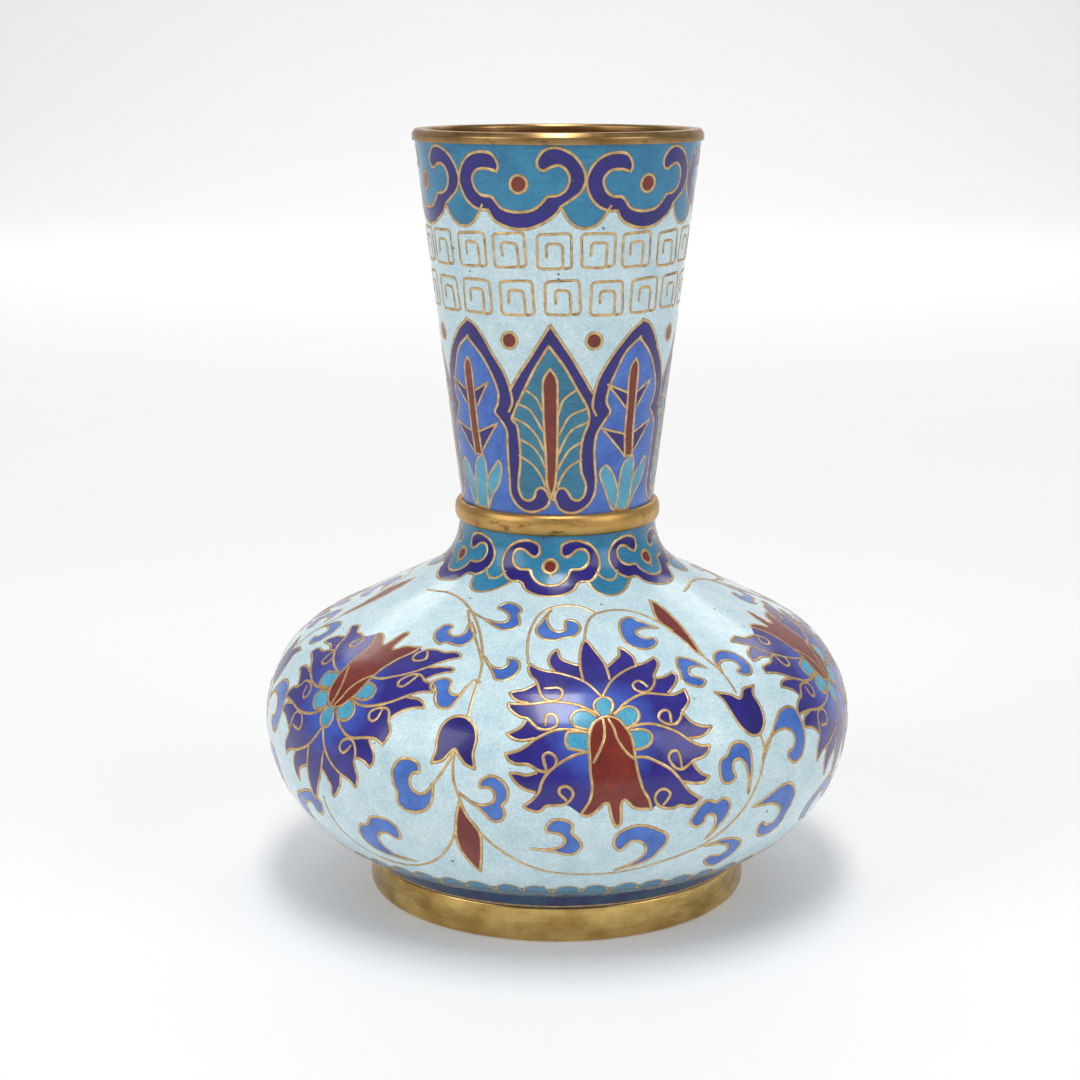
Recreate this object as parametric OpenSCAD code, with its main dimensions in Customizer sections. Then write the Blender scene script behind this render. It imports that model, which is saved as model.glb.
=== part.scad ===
// Cloisonne vase: copper body in three spun pieces, gilt brass mouth rim, collar band
// and foot ring, flat brass wires standing on the copper and enamel filling every cell.
// Millimetres, +Z up, origin on the axis at the floor. The front faces -Y.

/* [Body] */
// Height from the floor to the top of the mouth rim
vase_h = 127; // [125:0.5:129]
// Outside radius at the mouth
mouth_r = 23.4; // [23:0.1:23.8]
// Outside radius of the enamel just above the collar
waist_r = 15.9; // [15.8:0.1:16]
// Height of the top edge of the collar
collar_top = 66.5; // [66:0.5:67]
// Outside radius where the shoulder starts to flare
flare_in_r = 16.4; // [16.3:0.1:16.5]
// Height where the shoulder starts to flare
flare_z = 62.6; // [62.5:0.1:62.7]
// Radius of the hollow curve between neck and shoulder
flare_r = 9; // [8.6:0.1:9.4]
// Radius of the full curve above the widest line
upper_r = 17.2; // [16.8:0.1:17.6]
// Radius of the full curve below the widest line
lower_r = 22.5; // [22:0.1:23]
// Outside radius at the widest line
belly_r = 49.2; // [48.8:0.1:49.6]
// Height of the widest line
belly_z = 30; // [29.5:0.1:30.5]
// Height where the bowl meets the cove above the foot
cove_z = 8.6; // [8.4:0.1:8.8]

/* [Metal fittings] */
// Height of the foot ring
foot_h = 6; // [5.6:0.1:6.4]
// Outside radius of the foot ring
foot_r = 32; // [31.8:0.1:32.4]
// Wall of the foot ring
foot_wall = 2.6; // [2.4:0.1:3]
// Height of the mouth rim
rim_h = 1.8; // [1.6:0.1:2]
// How far the mouth rim stands proud of the enamel
rim_proud = 0.2; // [0.1:0.05:0.3]
// Height of the collar band
collar_h = 3.5; // [3.3:0.1:3.6]
// Outside radius of the collar band
collar_r = 17.1; // [17:0.1:17.3]

/* [Layers] */
// Thickness of the enamel
enamel_t = 1; // [0.9:0.05:1.1]
// Thickness of the copper body
copper_t = 1; // [0.9:0.05:1.2]
// Thickness of a flat wire seen from outside
wire_w = 0.5; // [0.4:0.05:0.6]
// Thickness of the copper plate closing the bottom
plate_t = 1.2; // [1:0.1:1.5]

/* [Hidden] */
$fn = 96;
front_a = -3.5;
enamel_top = vase_h - rim_h;
collar_bot = collar_top - collar_h;
seam_z = (collar_top + collar_bot) / 2;
reach = belly_r + 5;

flare_c = [flare_in_r + flare_r, flare_z];
upper_c = [belly_r - upper_r, belly_z];
lower_c = [belly_r - lower_r, belly_z];
lean_a = asin((flare_r + upper_r) / norm(flare_c - upper_c))
    + atan2(upper_c[0] - flare_c[0], flare_c[1] - upper_c[1]);
lean_n = [cos(lean_a), sin(lean_a)];
cove_r = lower_c[0] + sqrt(pow(lower_r, 2) - pow(belly_z - cove_z, 2));
cove_slope = (cove_r - foot_r) / (cove_z - foot_h);
cove_skew = norm([1, cove_slope]);
overlap_z = cove_z + 2.4 * enamel_t;

flare_lap = 5;
flare_gap = 0.3;
throat_slope = (flare_in_r - waist_r) / (collar_top - flare_z);
nick = 0.004;
slope_dir = [sin(lean_a), -cos(lean_a)];

arc_deg = PI / 180;
v_neck = norm([mouth_r - waist_r, vase_h - collar_top]);
v_waist = v_neck + norm([flare_in_r - waist_r, collar_top - flare_z]);
v_flare = v_waist + flare_r * lean_a * arc_deg;
v_slope = v_flare + norm(slope_bot(0) - slope_top(0));
v_widest = v_slope + upper_r * lean_a * arc_deg;

// Ends of the straight shoulder slope, moved inwards by d
function slope_top(d) = flare_c - (flare_r + d) * lean_n;
function slope_bot(d) = upper_c + (upper_r - d) * lean_n;

function mix(a, b, t) = a + (b - a) * t;

// Radius and height of the outside wall at the distance v down the wall from the mouth
function wall(v) =
    v < v_neck ? mix([mouth_r, vase_h], [waist_r, collar_top], v / v_neck) :
    v < v_waist ? mix([waist_r, collar_top], [flare_in_r, flare_z],
        (v - v_neck) / (v_waist - v_neck)) :
    v < v_flare ? let (a = (v - v_waist) / flare_r / arc_deg)
        flare_c - flare_r * [cos(a), sin(a)] :
    v < v_slope ? mix(slope_top(0), slope_bot(0), (v - v_flare) / (v_slope - v_flare)) :
    v < v_widest ? let (a = lean_a - (v - v_slope) / upper_r / arc_deg)
        upper_c + upper_r * [cos(a), sin(a)] :
    let (a = (v - v_widest) / lower_r / arc_deg)
        lower_c + lower_r * [cos(a), -sin(a)];

// A point x along and v down the wall, seen straight from the front
function seen(p) = let (w = wall(p[1])) [w[0] * sin(p[0] / w[0] / arc_deg), w[1]];

// A half outline and its mirror image as one closed outline
function both(half) = concat(half, [for (i = [len(half) - 1:-1:0]) [-half[i][0], half[i][1]]]);

// The same outline turned upside down about the line v = middle
function flip(outline, middle) = [for (p = outline) [p[0], 2 * middle - p[1]]];

module patch(outline)
{
    polygon([for (p = outline) seen(p)]);
}

// One cell outline pushed outwards through the wall at each angle, from the distance start
module cells(turns, start = 14)
{
    for (turn = turns)
        rotate([0, 0, turn])
            rotate([90, 0, 0])
                translate([0, 0, start])
                    linear_extrude(height = reach - start)
                        children();
}

module filling()
{
    offset(delta = -wire_w / 2)
        children();
}

module outside()
{
    offset(delta = wire_w / 2)
        children();
}

module loop()
{
    difference()
    {
        outside()
            children();
        filling()
            children();
    }
}

// Half section of everything inside the outer wall, moved inwards by d. The straight parts
// run a hair into the curves they meet, so that every joint is a clean crossing.
module section(d)
{
    polygon([[0, flare_z - flare_lap],
        [flare_in_r + flare_lap * throat_slope - d, flare_z - flare_lap],
        [waist_r - d, collar_top], [mouth_r - d, vase_h], [0, vase_h]]);
    difference()
    {
        translate([0, slope_top(d)[1]])
            square([flare_c[0], flare_z - flare_gap - slope_top(d)[1]]);
        translate(flare_c)
            circle(r = flare_r + d);
    }
    polygon([[0, slope_bot(d)[1]], slope_bot(d) - nick * lean_n,
        slope_top(d) + nick * lean_n - slope_dir, [0, slope_top(d)[1]]]);
    intersection()
    {
        translate(upper_c)
            circle(r = upper_r - d);
        translate([upper_c[0] - 2, belly_z])
            square([reach, slope_bot(d)[1] + 1 - belly_z]);
    }
    translate([0, belly_z])
        square([upper_c[0], slope_bot(d)[1] - belly_z]);
    intersection()
    {
        translate(lower_c)
            circle(r = lower_r - d);
        translate([lower_c[0], 0])
            square([reach, belly_z]);
    }
    translate([0, foot_h])
        square([lower_c[0], belly_z - foot_h]);
    polygon([[0, foot_h], [foot_r - d * cove_skew, foot_h],
        [foot_r + (overlap_z - foot_h) * cove_slope - d * cove_skew, overlap_z],
        [0, overlap_z]]);
}

// Ring of wall between two depths and two heights
module layer(d_out, d_in, z_low, z_high)
{
    rotate_extrude()
        intersection()
        {
            difference()
            {
                section(d_out);
                section(d_in);
            }
            translate([0, z_low])
                square([reach, z_high - z_low]);
        }
}

module enamel(z_low, z_high)
{
    layer(0, enamel_t, z_low, z_high);
}

// Heights that divide the enamel into bands
band_cloud = wall(12.5)[1];
band_fret = wall(16)[1];
band_tips = wall(29)[1];
band_cusp = wall(44.5)[1];
band_shoulder = wall(73)[1];
band_scroll = wall(78)[1];
band_petal = wall(133.5)[1];

// Angles of the repeats
cloud_turns = [for (i = [0:6]) -16 + i * 360 / 7];
cloud_gaps = [for (i = [0:6]) 9.7 + i * 360 / 7];
fret_high = [for (i = [0:18]) -2.7 + i * 360 / 19];
fret_low = [for (i = [0:17]) 1 + i * 20];
palm_turns = [for (i = [0:3]) front_a + i * 90];
bamboo_turns = [for (i = [0:3]) front_a + 45 + i * 90];
pearl_turns = [for (i = [0:3]) for (s = [-20, 20]) front_a + s + i * 90];
head_turns = [for (i = [0:5]) front_a + i * 60];
gap_turns = [for (i = [0:5]) front_a + 30 + i * 60];
lotus_down = [8, 128, 248];
lotus_up = [-52, 68, 188];
bud_down = [-20, 100, 220];
bud_up = [40, 160, 280];
petal_count = 28;
lotus_start = 12;

// Cloud head of the mouth border, outside and inside edges
cloud_outer = [[3, 4.3], [4.6, 2.4], [7.2, 3.1], [9, 6.4], [8.4, 9.2], [5.8, 11.4],
    [5.4, 12.5], [3, 14.1], [0, 14.7]];
cloud_inner = [[0, 12.1], [2.8, 11.5], [4.6, 9.6], [6.2, 8.9], [6.7, 7], [5.4, 5],
    [4.2, 5.5], [3.1, 5.2]];
// Cloud head of the shoulder border
head_outer = [[1.7, 66.7], [2.4, 65.5], [4.5, 65.4], [7, 67.1], [7.6, 70], [6.4, 72],
    [4.6, 72.3], [3.2, 74.2], [0, 75]];
head_inner = [[0, 72.7], [2, 72], [3.3, 70], [5.2, 69.6], [5.8, 68], [4.6, 66.9],
    [2.9, 67.8], [1.8, 67.3]];

// Red-brown pearls: radius of the wire round them and distance down the wall
rim_pearl_r = 1.5;
rim_pearl_v = 7.8;
neck_pearl_r = 1.5;
neck_pearl_v = 32.4;
head_pearl_r = 1.2;
head_pearl_v = 69.3;
// Round scallops between the cloud heads
scallop_r = 3.4;
scallop_v = 11.4;
gap_scallop_r = 2.2;
gap_scallop_v = 72.4;
// Middle of each row of square spirals
fret_high_v = 18.2;
fret_low_v = 25.4;

// Palm and bamboo panels of the neck
palm_tip = [[0, 29.7], [3.1, 34.8], [5.2, 38.2], [7.2, 41.5], [7.2, 44.8]];
palm_field = [[0, 33.1], [3.4, 38.6], [5.9, 44.4], [4.9, 48], [5.2, 57], [4.2, 58.7],
    [2.8, 58], [1.7, 56.4]];
palm_spine = [[0.5, 36.9], [1, 38], [1, 45], [0.8, 52], [0.3, 57.9]];
bamboo_tip = [[0, 29.5], [3.4, 31.8], [5.8, 35], [7.4, 38.4], [8.4, 41.6], [8.2, 44.8]];
bamboo_field = [[0, 32.2], [4.2, 36.8], [6.2, 41.2], [5.9, 43.8], [7, 47.5], [6.9, 57],
    [7.4, 60.2]];
bamboo_stem = [[0.6, 35.9], [1, 37], [0.9, 51.5]];
leaf_pair_high = [[1, 40.1], [4.4, 39.8], [1.1, 43.6]];
leaf_pair_low = [[1, 47], [4.6, 46.6], [1.2, 50.8]];
shoot_mid = [[0.9, 52.1], [1.2, 56], [1, 60.1]];
shoot_side = [[2, 56.6], [4.2, 53], [4.6, 54.6], [3.2, 58.4], [2.2, 60.1]];

// Lotus flower: petals, seed lobes and bell
lotus_petal = [[0, 85.8], [2.6, 91], [5, 88.5], [6, 92], [8.5, 90.8], [8.2, 94.6],
    [11, 96.5], [13.8, 98.2], [12.6, 102.6], [16, 105], [13.4, 109], [15.8, 112.8],
    [13.4, 115.6], [8.5, 116.2], [5, 113.4], [2, 112.5]];
lotus_bell = [[1.6, 102.3], [2.9, 104.6], [3.5, 109], [4, 112.5], [5.2, 115.5],
    [6.6, 116.5], [4.2, 116.2], [2.2, 114.6], [1, 115.6], [0.5, 119]];
lobe_spots = [[0, 99.7], [-3.8, 101.6], [3.8, 101.6], [-5.4, 105.6], [5.4, 105.6]];
lobe_r = 1.6;
lotus_mid = 103;

// Bud and blade between the flowers
bud_shape = [[0, 102.3], [2.4, 103.2], [3.2, 105.2], [4, 110.4], [1.6, 109], [0, 107.3]];
blade_shape = [[0.9, 115.3], [4.2, 120.3], [4, 129], [0.9, 123.5], [0.4, 120.3]];
bud_mid = 105;
blade_mid = 103.3;

// Curled leaves: middle, size and the way the hollow faces
curl_spots = [[6, 84.6, 3, 200], [-8.2, 114.2, 3.7, 20], [-9.5, 124, 3.2, 150]];

module spot(r, v)
{
    translate([0, wall(v)[1]])
        circle(r = r);
}

module spot_loop(r, v)
{
    difference()
    {
        spot(r + wire_w / 2, v);
        spot(r - wire_w / 2, v);
    }
}

// The C of a cloud head: the full shape less its heart and its open top
module c_shape(outer, inner)
{
    half = concat(outer, inner);
    patch(half);
    mirror([1, 0])
        patch(half);
}

// Square spiral of the fret band, centred on the height v
fret_s = 2.6;
fret_step = 0.95;
fret_top = 1;
fret_tail = 1.8;
module fret_2d(v)
{
    w = wire_w;
    translate([0, wall(v)[1]])
    {
        difference()
        {
            square(2 * fret_s + w, center = true);
            square(2 * fret_s - w, center = true);
        }
        translate([fret_s - fret_step - w / 2, -fret_s])
            square([w, fret_s + fret_top]);
        translate([-fret_step, fret_top - w / 2])
            square([fret_s, w]);
        translate([-fret_step - w / 2, fret_top - fret_tail])
            square([w, fret_tail]);
    }
}

// ---- metal body -------------------------------------------------------------

module neck_tube()
{
    color("peru")
        layer(enamel_t, enamel_t + copper_t, seam_z, enamel_top);
}

module upper_body()
{
    color("peru")
        layer(enamel_t, enamel_t + copper_t, belly_z, seam_z);
}

module lower_body()
{
    color("peru")
        layer(enamel_t, enamel_t + copper_t, foot_h, belly_z);
}

module base_plate()
{
    color("peru")
        rotate_extrude()
            intersection()
            {
                section(enamel_t + copper_t);
                translate([0, foot_h])
                    square([reach, plate_t]);
            }
}

module base_enamel()
{
    color("steelblue")
        translate([0, 0, foot_h - enamel_t])
            cylinder(h = enamel_t, r = foot_r - foot_wall);
}

module mouth_rim()
{
    lip = 0.2;
    bevel_h = 0.7;
    bevel_w = 0.5;
    inner_bevel = 0.3;
    inner = mouth_r - enamel_t - copper_t - lip;
    outer = mouth_r + rim_proud;
    color("goldenrod")
        rotate_extrude()
            polygon([[inner, enamel_top], [outer, enamel_top], [outer, vase_h - bevel_h],
                [outer - bevel_w, vase_h], [inner + inner_bevel, vase_h],
                [inner, vase_h - inner_bevel]]);
}

module collar_band()
{
    bulge = 6;
    hidden_r = waist_r - enamel_t - 2;
    color("goldenrod")
        rotate_extrude()
            difference()
            {
                intersection()
                {
                    translate([0, collar_bot])
                        square([collar_r, collar_h]);
                    translate([collar_r - bulge, seam_z])
                        circle(r = bulge);
                }
                section(enamel_t);
                square([hidden_r, vase_h]);
            }
}

module foot_ring()
{
    edge = 0.8;
    color("goldenrod")
        rotate_extrude()
        {
            translate([foot_r - foot_wall, 0])
                square([foot_wall - edge, foot_h]);
            translate([foot_r - edge, edge])
                square([edge, foot_h - edge]);
            translate([foot_r - edge, edge])
                circle(r = edge);
        }
}

// ---- mouth border -----------------------------------------------------------

module rim_clouds()
{
    color("midnightblue")
        intersection()
        {
            enamel(band_fret, enamel_top);
            cells(cloud_turns)
                filling()
                    c_shape(cloud_outer, cloud_inner);
        }
}

module rim_wires()
{
    color("gold")
        intersection()
        {
            enamel(band_fret, enamel_top);
            cells(cloud_turns)
            {
                loop()
                    c_shape(cloud_outer, cloud_inner);
                spot_loop(rim_pearl_r, rim_pearl_v);
            }
        }
}

module rim_pearls()
{
    color("firebrick")
        intersection()
        {
            enamel(band_fret, enamel_top);
            cells(cloud_turns)
                spot(rim_pearl_r - wire_w / 2, rim_pearl_v);
        }
}

module rim_ground()
{
    color("steelblue")
        difference()
        {
            enamel(band_cloud, enamel_top);
            cells(cloud_turns)
            {
                outside()
                    c_shape(cloud_outer, cloud_inner);
                spot(rim_pearl_r + wire_w / 2, rim_pearl_v);
            }
        }
}

module rim_scallops()
{
    color("steelblue")
        intersection()
        {
            enamel(band_tips, band_cloud);
            cells(cloud_gaps)
                spot(scallop_r, scallop_v);
        }
}

// ---- fret band --------------------------------------------------------------

module fret_wires()
{
    color("gold")
        intersection()
        {
            enamel(band_tips, band_cloud);
            union()
            {
                cells(fret_high)
                    fret_2d(fret_high_v);
                cells(fret_low)
                    fret_2d(fret_low_v);
            }
        }
}

module neck_pearls()
{
    color("firebrick")
        intersection()
        {
            enamel(band_cusp, band_tips);
            cells(pearl_turns)
                spot(neck_pearl_r - wire_w / 2, neck_pearl_v);
        }
}

module fret_ground()
{
    color("lightblue")
        difference()
        {
            enamel(band_cusp, band_cloud);
            cells(cloud_gaps)
                spot(scallop_r, scallop_v);
            cells(cloud_turns)
                outside()
                    c_shape(cloud_outer, cloud_inner);
            cells(fret_high)
                fret_2d(fret_high_v);
            cells(fret_low)
                fret_2d(fret_low_v);
            cells(pearl_turns)
                spot(neck_pearl_r + wire_w / 2, neck_pearl_v);
            cells(palm_turns)
                outside()
                    patch(both(palm_tip));
            cells(bamboo_turns)
                outside()
                    patch(both(bamboo_tip));
        }
}

// ---- palm and bamboo panels -------------------------------------------------

module lappet_frames()
{
    color("midnightblue")
        difference()
        {
            union()
            {
                enamel(collar_top, band_cusp);
                intersection()
                {
                    enamel(band_cusp, band_tips);
                    union()
                    {
                        cells(palm_turns)
                            filling()
                                patch(both(palm_tip));
                        cells(bamboo_turns)
                            filling()
                                patch(both(bamboo_tip));
                    }
                }
            }
            cells(palm_turns)
                outside()
                    patch(both(palm_field));
            cells(bamboo_turns)
                outside()
                    patch(both(bamboo_field));
        }
}

module panel_wires()
{
    color("gold")
        intersection()
        {
            enamel(collar_top, band_tips);
            union()
            {
                cells(palm_turns)
                {
                    loop()
                        patch(both(palm_field));
                    loop()
                        patch(both(palm_spine));
                }
                cells(bamboo_turns)
                {
                    loop()
                        patch(both(bamboo_field));
                    loop()
                        patch(both(bamboo_stem));
                }
                cells(pearl_turns)
                    spot_loop(neck_pearl_r, neck_pearl_v);
            }
        }
}

module tip_wires()
{
    color("gold")
        difference()
        {
            intersection()
            {
                enamel(band_cusp, band_tips);
                union()
                {
                    cells(palm_turns)
                        outside()
                            patch(both(palm_tip));
                    cells(bamboo_turns)
                        outside()
                            patch(both(bamboo_tip));
                }
            }
            cells(palm_turns)
                filling()
                    patch(both(palm_tip));
            cells(bamboo_turns)
                filling()
                    patch(both(bamboo_tip));
        }
}

module palm_fields()
{
    color("teal")
        intersection()
        {
            enamel(collar_top, band_tips);
            cells(palm_turns)
                difference()
                {
                    filling()
                        patch(both(palm_field));
                    outside()
                        patch(both(palm_spine));
                }
        }
}

module palm_spines()
{
    color("firebrick")
        intersection()
        {
            enamel(collar_top, band_tips);
            cells(palm_turns)
                filling()
                    patch(both(palm_spine));
        }
}

module bamboo_leaves_2d()
{
    for (leaf = [leaf_pair_high, leaf_pair_low])
    {
        patch(leaf);
        mirror([1, 0])
            patch(leaf);
    }
}

module bamboo_shoots_2d()
{
    patch(both(shoot_mid));
    patch(shoot_side);
    mirror([1, 0])
        patch(shoot_side);
}

module bamboo_fields()
{
    color("royalblue")
        intersection()
        {
            enamel(collar_top, band_tips);
            cells(bamboo_turns)
                difference()
                {
                    filling()
                        patch(both(bamboo_field));
                    outside()
                        patch(both(bamboo_stem));
                    bamboo_leaves_2d();
                    bamboo_shoots_2d();
                }
        }
}

module bamboo_stems()
{
    color("firebrick")
        intersection()
        {
            enamel(collar_top, band_tips);
            cells(bamboo_turns)
                filling()
                    patch(both(bamboo_stem));
        }
}

module bamboo_leaves()
{
    color("midnightblue")
        intersection()
        {
            enamel(collar_top, band_tips);
            cells(bamboo_turns)
                difference()
                {
                    bamboo_leaves_2d();
                    outside()
                        patch(both(bamboo_stem));
                }
        }
}

module bamboo_shoots()
{
    color("darkturquoise")
        intersection()
        {
            enamel(collar_top, band_tips);
            cells(bamboo_turns)
                difference()
                {
                    bamboo_shoots_2d();
                    outside()
                        patch(both(bamboo_stem));
                }
        }
}

// ---- shoulder border --------------------------------------------------------

module shoulder_clouds()
{
    color("midnightblue")
        intersection()
        {
            enamel(band_scroll, collar_bot);
            cells(head_turns)
                filling()
                    c_shape(head_outer, head_inner);
        }
}

module shoulder_wires()
{
    color("gold")
        intersection()
        {
            enamel(band_scroll, collar_bot);
            cells(head_turns)
            {
                loop()
                    c_shape(head_outer, head_inner);
                spot_loop(head_pearl_r, head_pearl_v);
            }
        }
}

module shoulder_pearls()
{
    color("firebrick")
        intersection()
        {
            enamel(band_scroll, collar_bot);
            cells(head_turns)
                spot(head_pearl_r - wire_w / 2, head_pearl_v);
        }
}

module shoulder_ground()
{
    color("steelblue")
        difference()
        {
            enamel(band_shoulder, collar_bot);
            cells(head_turns)
            {
                outside()
                    c_shape(head_outer, head_inner);
                spot(head_pearl_r + wire_w / 2, head_pearl_v);
            }
        }
}

module shoulder_scallops()
{
    color("steelblue")
        intersection()
        {
            enamel(band_scroll, band_shoulder);
            cells(gap_turns)
                spot(gap_scallop_r, gap_scallop_v);
        }
}

// ---- lotus scroll -----------------------------------------------------------

module flower(turned)
{
    if (turned)
        patch(flip(both(lotus_petal), lotus_mid));
    else
        patch(both(lotus_petal));
}

module bell(turned)
{
    if (turned)
        patch(flip(both(lotus_bell), lotus_mid));
    else
        patch(both(lotus_bell));
}

module lobes(turned)
{
    for (p = lobe_spots)
        translate(seen([p[0], turned ? 2 * lotus_mid - p[1] : p[1]]))
            circle(r = lobe_r);
}

module curls(turned, grow)
{
    for (c = curl_spots)
        translate(seen([c[0], turned ? 2 * lotus_mid - c[1] : c[1]]))
            difference()
            {
                circle(r = c[2] + grow);
                translate(0.6 * c[2] * [cos(c[3]), sin(turned ? -c[3] : c[3])])
                    circle(r = 0.62 * c[2] - grow);
            }
}

module curl_loops(turned)
{
    difference()
    {
        curls(turned, wire_w / 2);
        curls(turned, -wire_w / 2);
    }
}

module belly_shell()
{
    enamel(band_petal, band_shoulder);
}

module lotus_petals()
{
    color("darkblue")
        intersection()
        {
            belly_shell();
            for (k = [0, 1])
                cells(k == 0 ? lotus_down : lotus_up, lotus_start)
                    difference()
                    {
                        filling()
                            flower(k == 1);
                        outside()
                            bell(k == 1);
                        lobes(k == 1);
                    }
        }
}

module lotus_bells()
{
    color("firebrick")
        intersection()
        {
            belly_shell();
            for (k = [0, 1])
                cells(k == 0 ? lotus_down : lotus_up, lotus_start)
                    filling()
                        bell(k == 1);
        }
}

module lotus_lobes()
{
    color("darkturquoise")
        intersection()
        {
            belly_shell();
            for (k = [0, 1])
                cells(k == 0 ? lotus_down : lotus_up, lotus_start)
                    difference()
                    {
                        lobes(k == 1);
                        outside()
                            bell(k == 1);
                    }
        }
}

module lotus_wires()
{
    color("gold")
        intersection()
        {
            belly_shell();
            for (k = [0, 1])
                cells(k == 0 ? lotus_down : lotus_up, lotus_start)
                {
                    difference()
                    {
                        loop()
                            flower(k == 1);
                        filling()
                            bell(k == 1);
                    }
                    loop()
                        bell(k == 1);
                }
        }
}

module tulip_buds()
{
    color("midnightblue")
        intersection()
        {
            belly_shell();
            union()
            {
                cells(bud_down)
                    filling()
                        patch(both(bud_shape));
                cells(bud_up)
                    filling()
                        patch(flip(both(bud_shape), bud_mid));
            }
        }
}

module blade_leaves()
{
    color("firebrick")
        intersection()
        {
            belly_shell();
            union()
            {
                cells(bud_down)
                    filling()
                        patch(blade_shape);
                cells(bud_up)
                    filling()
                        patch(flip(blade_shape, blade_mid));
            }
        }
}

module curl_leaves()
{
    color("cornflowerblue")
        intersection()
        {
            belly_shell();
            union()
            {
                cells(bud_down)
                    curls(false, -wire_w / 2);
                cells(bud_up)
                    curls(true, -wire_w / 2);
            }
        }
}

module leaf_wires()
{
    color("gold")
        intersection()
        {
            belly_shell();
            union()
            {
                cells(bud_down)
                {
                    loop()
                        patch(both(bud_shape));
                    loop()
                        patch(blade_shape);
                    curl_loops(false);
                }
                cells(bud_up)
                {
                    loop()
                        patch(flip(both(bud_shape), bud_mid));
                    loop()
                        patch(flip(blade_shape, blade_mid));
                    curl_loops(true);
                }
            }
        }
}

module belly_ground()
{
    color("lightblue")
        difference()
        {
            belly_shell();
            cells(head_turns)
                outside()
                    c_shape(head_outer, head_inner);
            cells(gap_turns)
                spot(gap_scallop_r, gap_scallop_v);
            for (k = [0, 1])
                cells(k == 0 ? lotus_down : lotus_up, lotus_start)
                {
                    outside()
                        flower(k == 1);
                    outside()
                        bell(k == 1);
                }
            cells(bud_down)
            {
                outside()
                    patch(both(bud_shape));
                outside()
                    patch(blade_shape);
                curls(false, wire_w / 2);
            }
            cells(bud_up)
            {
                outside()
                    patch(flip(both(bud_shape), bud_mid));
                outside()
                    patch(flip(blade_shape, blade_mid));
                curls(true, wire_w / 2);
            }
        }
}

// ---- foot border ------------------------------------------------------------

module foot_petals()
{
    color("steelblue")
        difference()
        {
            enamel(cove_z, band_petal);
            for (i = [0:petal_count - 1])
                rotate([0, 0, i * 360 / petal_count])
                    translate([-wire_w / 2, -reach, 0])
                        cube([wire_w, reach, belly_z]);
        }
}

module petal_wires()
{
    color("gold")
        intersection()
        {
            enamel(cove_z, band_petal);
            for (i = [0:petal_count - 1])
                rotate([0, 0, i * 360 / petal_count])
                    translate([-wire_w / 2, -reach, 0])
                        cube([wire_w, reach, belly_z]);
        }
}

module foot_band()
{
    color("midnightblue")
        enamel(foot_h, cove_z);
}

neck_tube();
upper_body();
lower_body();
base_plate();
base_enamel();
mouth_rim();
collar_band();
foot_ring();
rim_clouds();
rim_wires();
rim_pearls();
rim_ground();
rim_scallops();
fret_wires();
neck_pearls();
fret_ground();
lappet_frames();
panel_wires();
tip_wires();
palm_fields();
palm_spines();
bamboo_fields();
bamboo_stems();
bamboo_leaves();
bamboo_shoots();
shoulder_clouds();
shoulder_wires();
shoulder_pearls();
shoulder_ground();
shoulder_scallops();
lotus_petals();
lotus_bells();
lotus_lobes();
lotus_wires();
tulip_buds();
blade_leaves();
curl_leaves();
leaf_wires();
belly_ground();
foot_petals();
petal_wires();
foot_band();
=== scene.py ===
import math
import random

import bpy
import numpy as np
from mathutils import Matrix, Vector, kdtree
from mathutils.geometry import delaunay_2d_cdt


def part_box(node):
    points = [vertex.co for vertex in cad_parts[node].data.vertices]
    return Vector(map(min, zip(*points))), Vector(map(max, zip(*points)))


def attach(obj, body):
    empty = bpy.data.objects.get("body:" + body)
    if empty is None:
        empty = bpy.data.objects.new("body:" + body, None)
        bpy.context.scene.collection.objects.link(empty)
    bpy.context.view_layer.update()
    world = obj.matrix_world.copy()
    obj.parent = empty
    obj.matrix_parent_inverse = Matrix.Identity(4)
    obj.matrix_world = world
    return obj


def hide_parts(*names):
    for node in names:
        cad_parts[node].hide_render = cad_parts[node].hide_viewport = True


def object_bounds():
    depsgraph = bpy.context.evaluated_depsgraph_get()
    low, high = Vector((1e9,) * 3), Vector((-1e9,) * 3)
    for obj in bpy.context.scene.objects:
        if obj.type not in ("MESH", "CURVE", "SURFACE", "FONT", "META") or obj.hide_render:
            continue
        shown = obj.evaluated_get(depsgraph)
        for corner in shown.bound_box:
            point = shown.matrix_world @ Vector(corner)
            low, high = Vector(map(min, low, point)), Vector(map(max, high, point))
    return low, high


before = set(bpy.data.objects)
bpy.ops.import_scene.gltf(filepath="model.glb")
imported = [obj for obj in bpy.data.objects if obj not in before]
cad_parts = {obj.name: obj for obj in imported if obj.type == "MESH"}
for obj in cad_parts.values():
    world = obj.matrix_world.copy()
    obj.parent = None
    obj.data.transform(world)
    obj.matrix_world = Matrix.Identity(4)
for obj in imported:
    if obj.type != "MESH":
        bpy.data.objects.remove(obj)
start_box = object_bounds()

# All lengths here are millimetres until the meshes are made. A place on the enamel is given as
# (x, v): v runs down the wall from the mouth and x along it, counted from the front. In a list
# of points a third entry marks a sharp corner, and the others are passed through smoothly.

MM = 0.001
dice = random.Random(11)


# ---- the wall of the vase --------------------------------------------------------------

def box_mm(node):
    low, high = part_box(node)
    return [c / MM for c in low], [c / MM for c in high]


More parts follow.
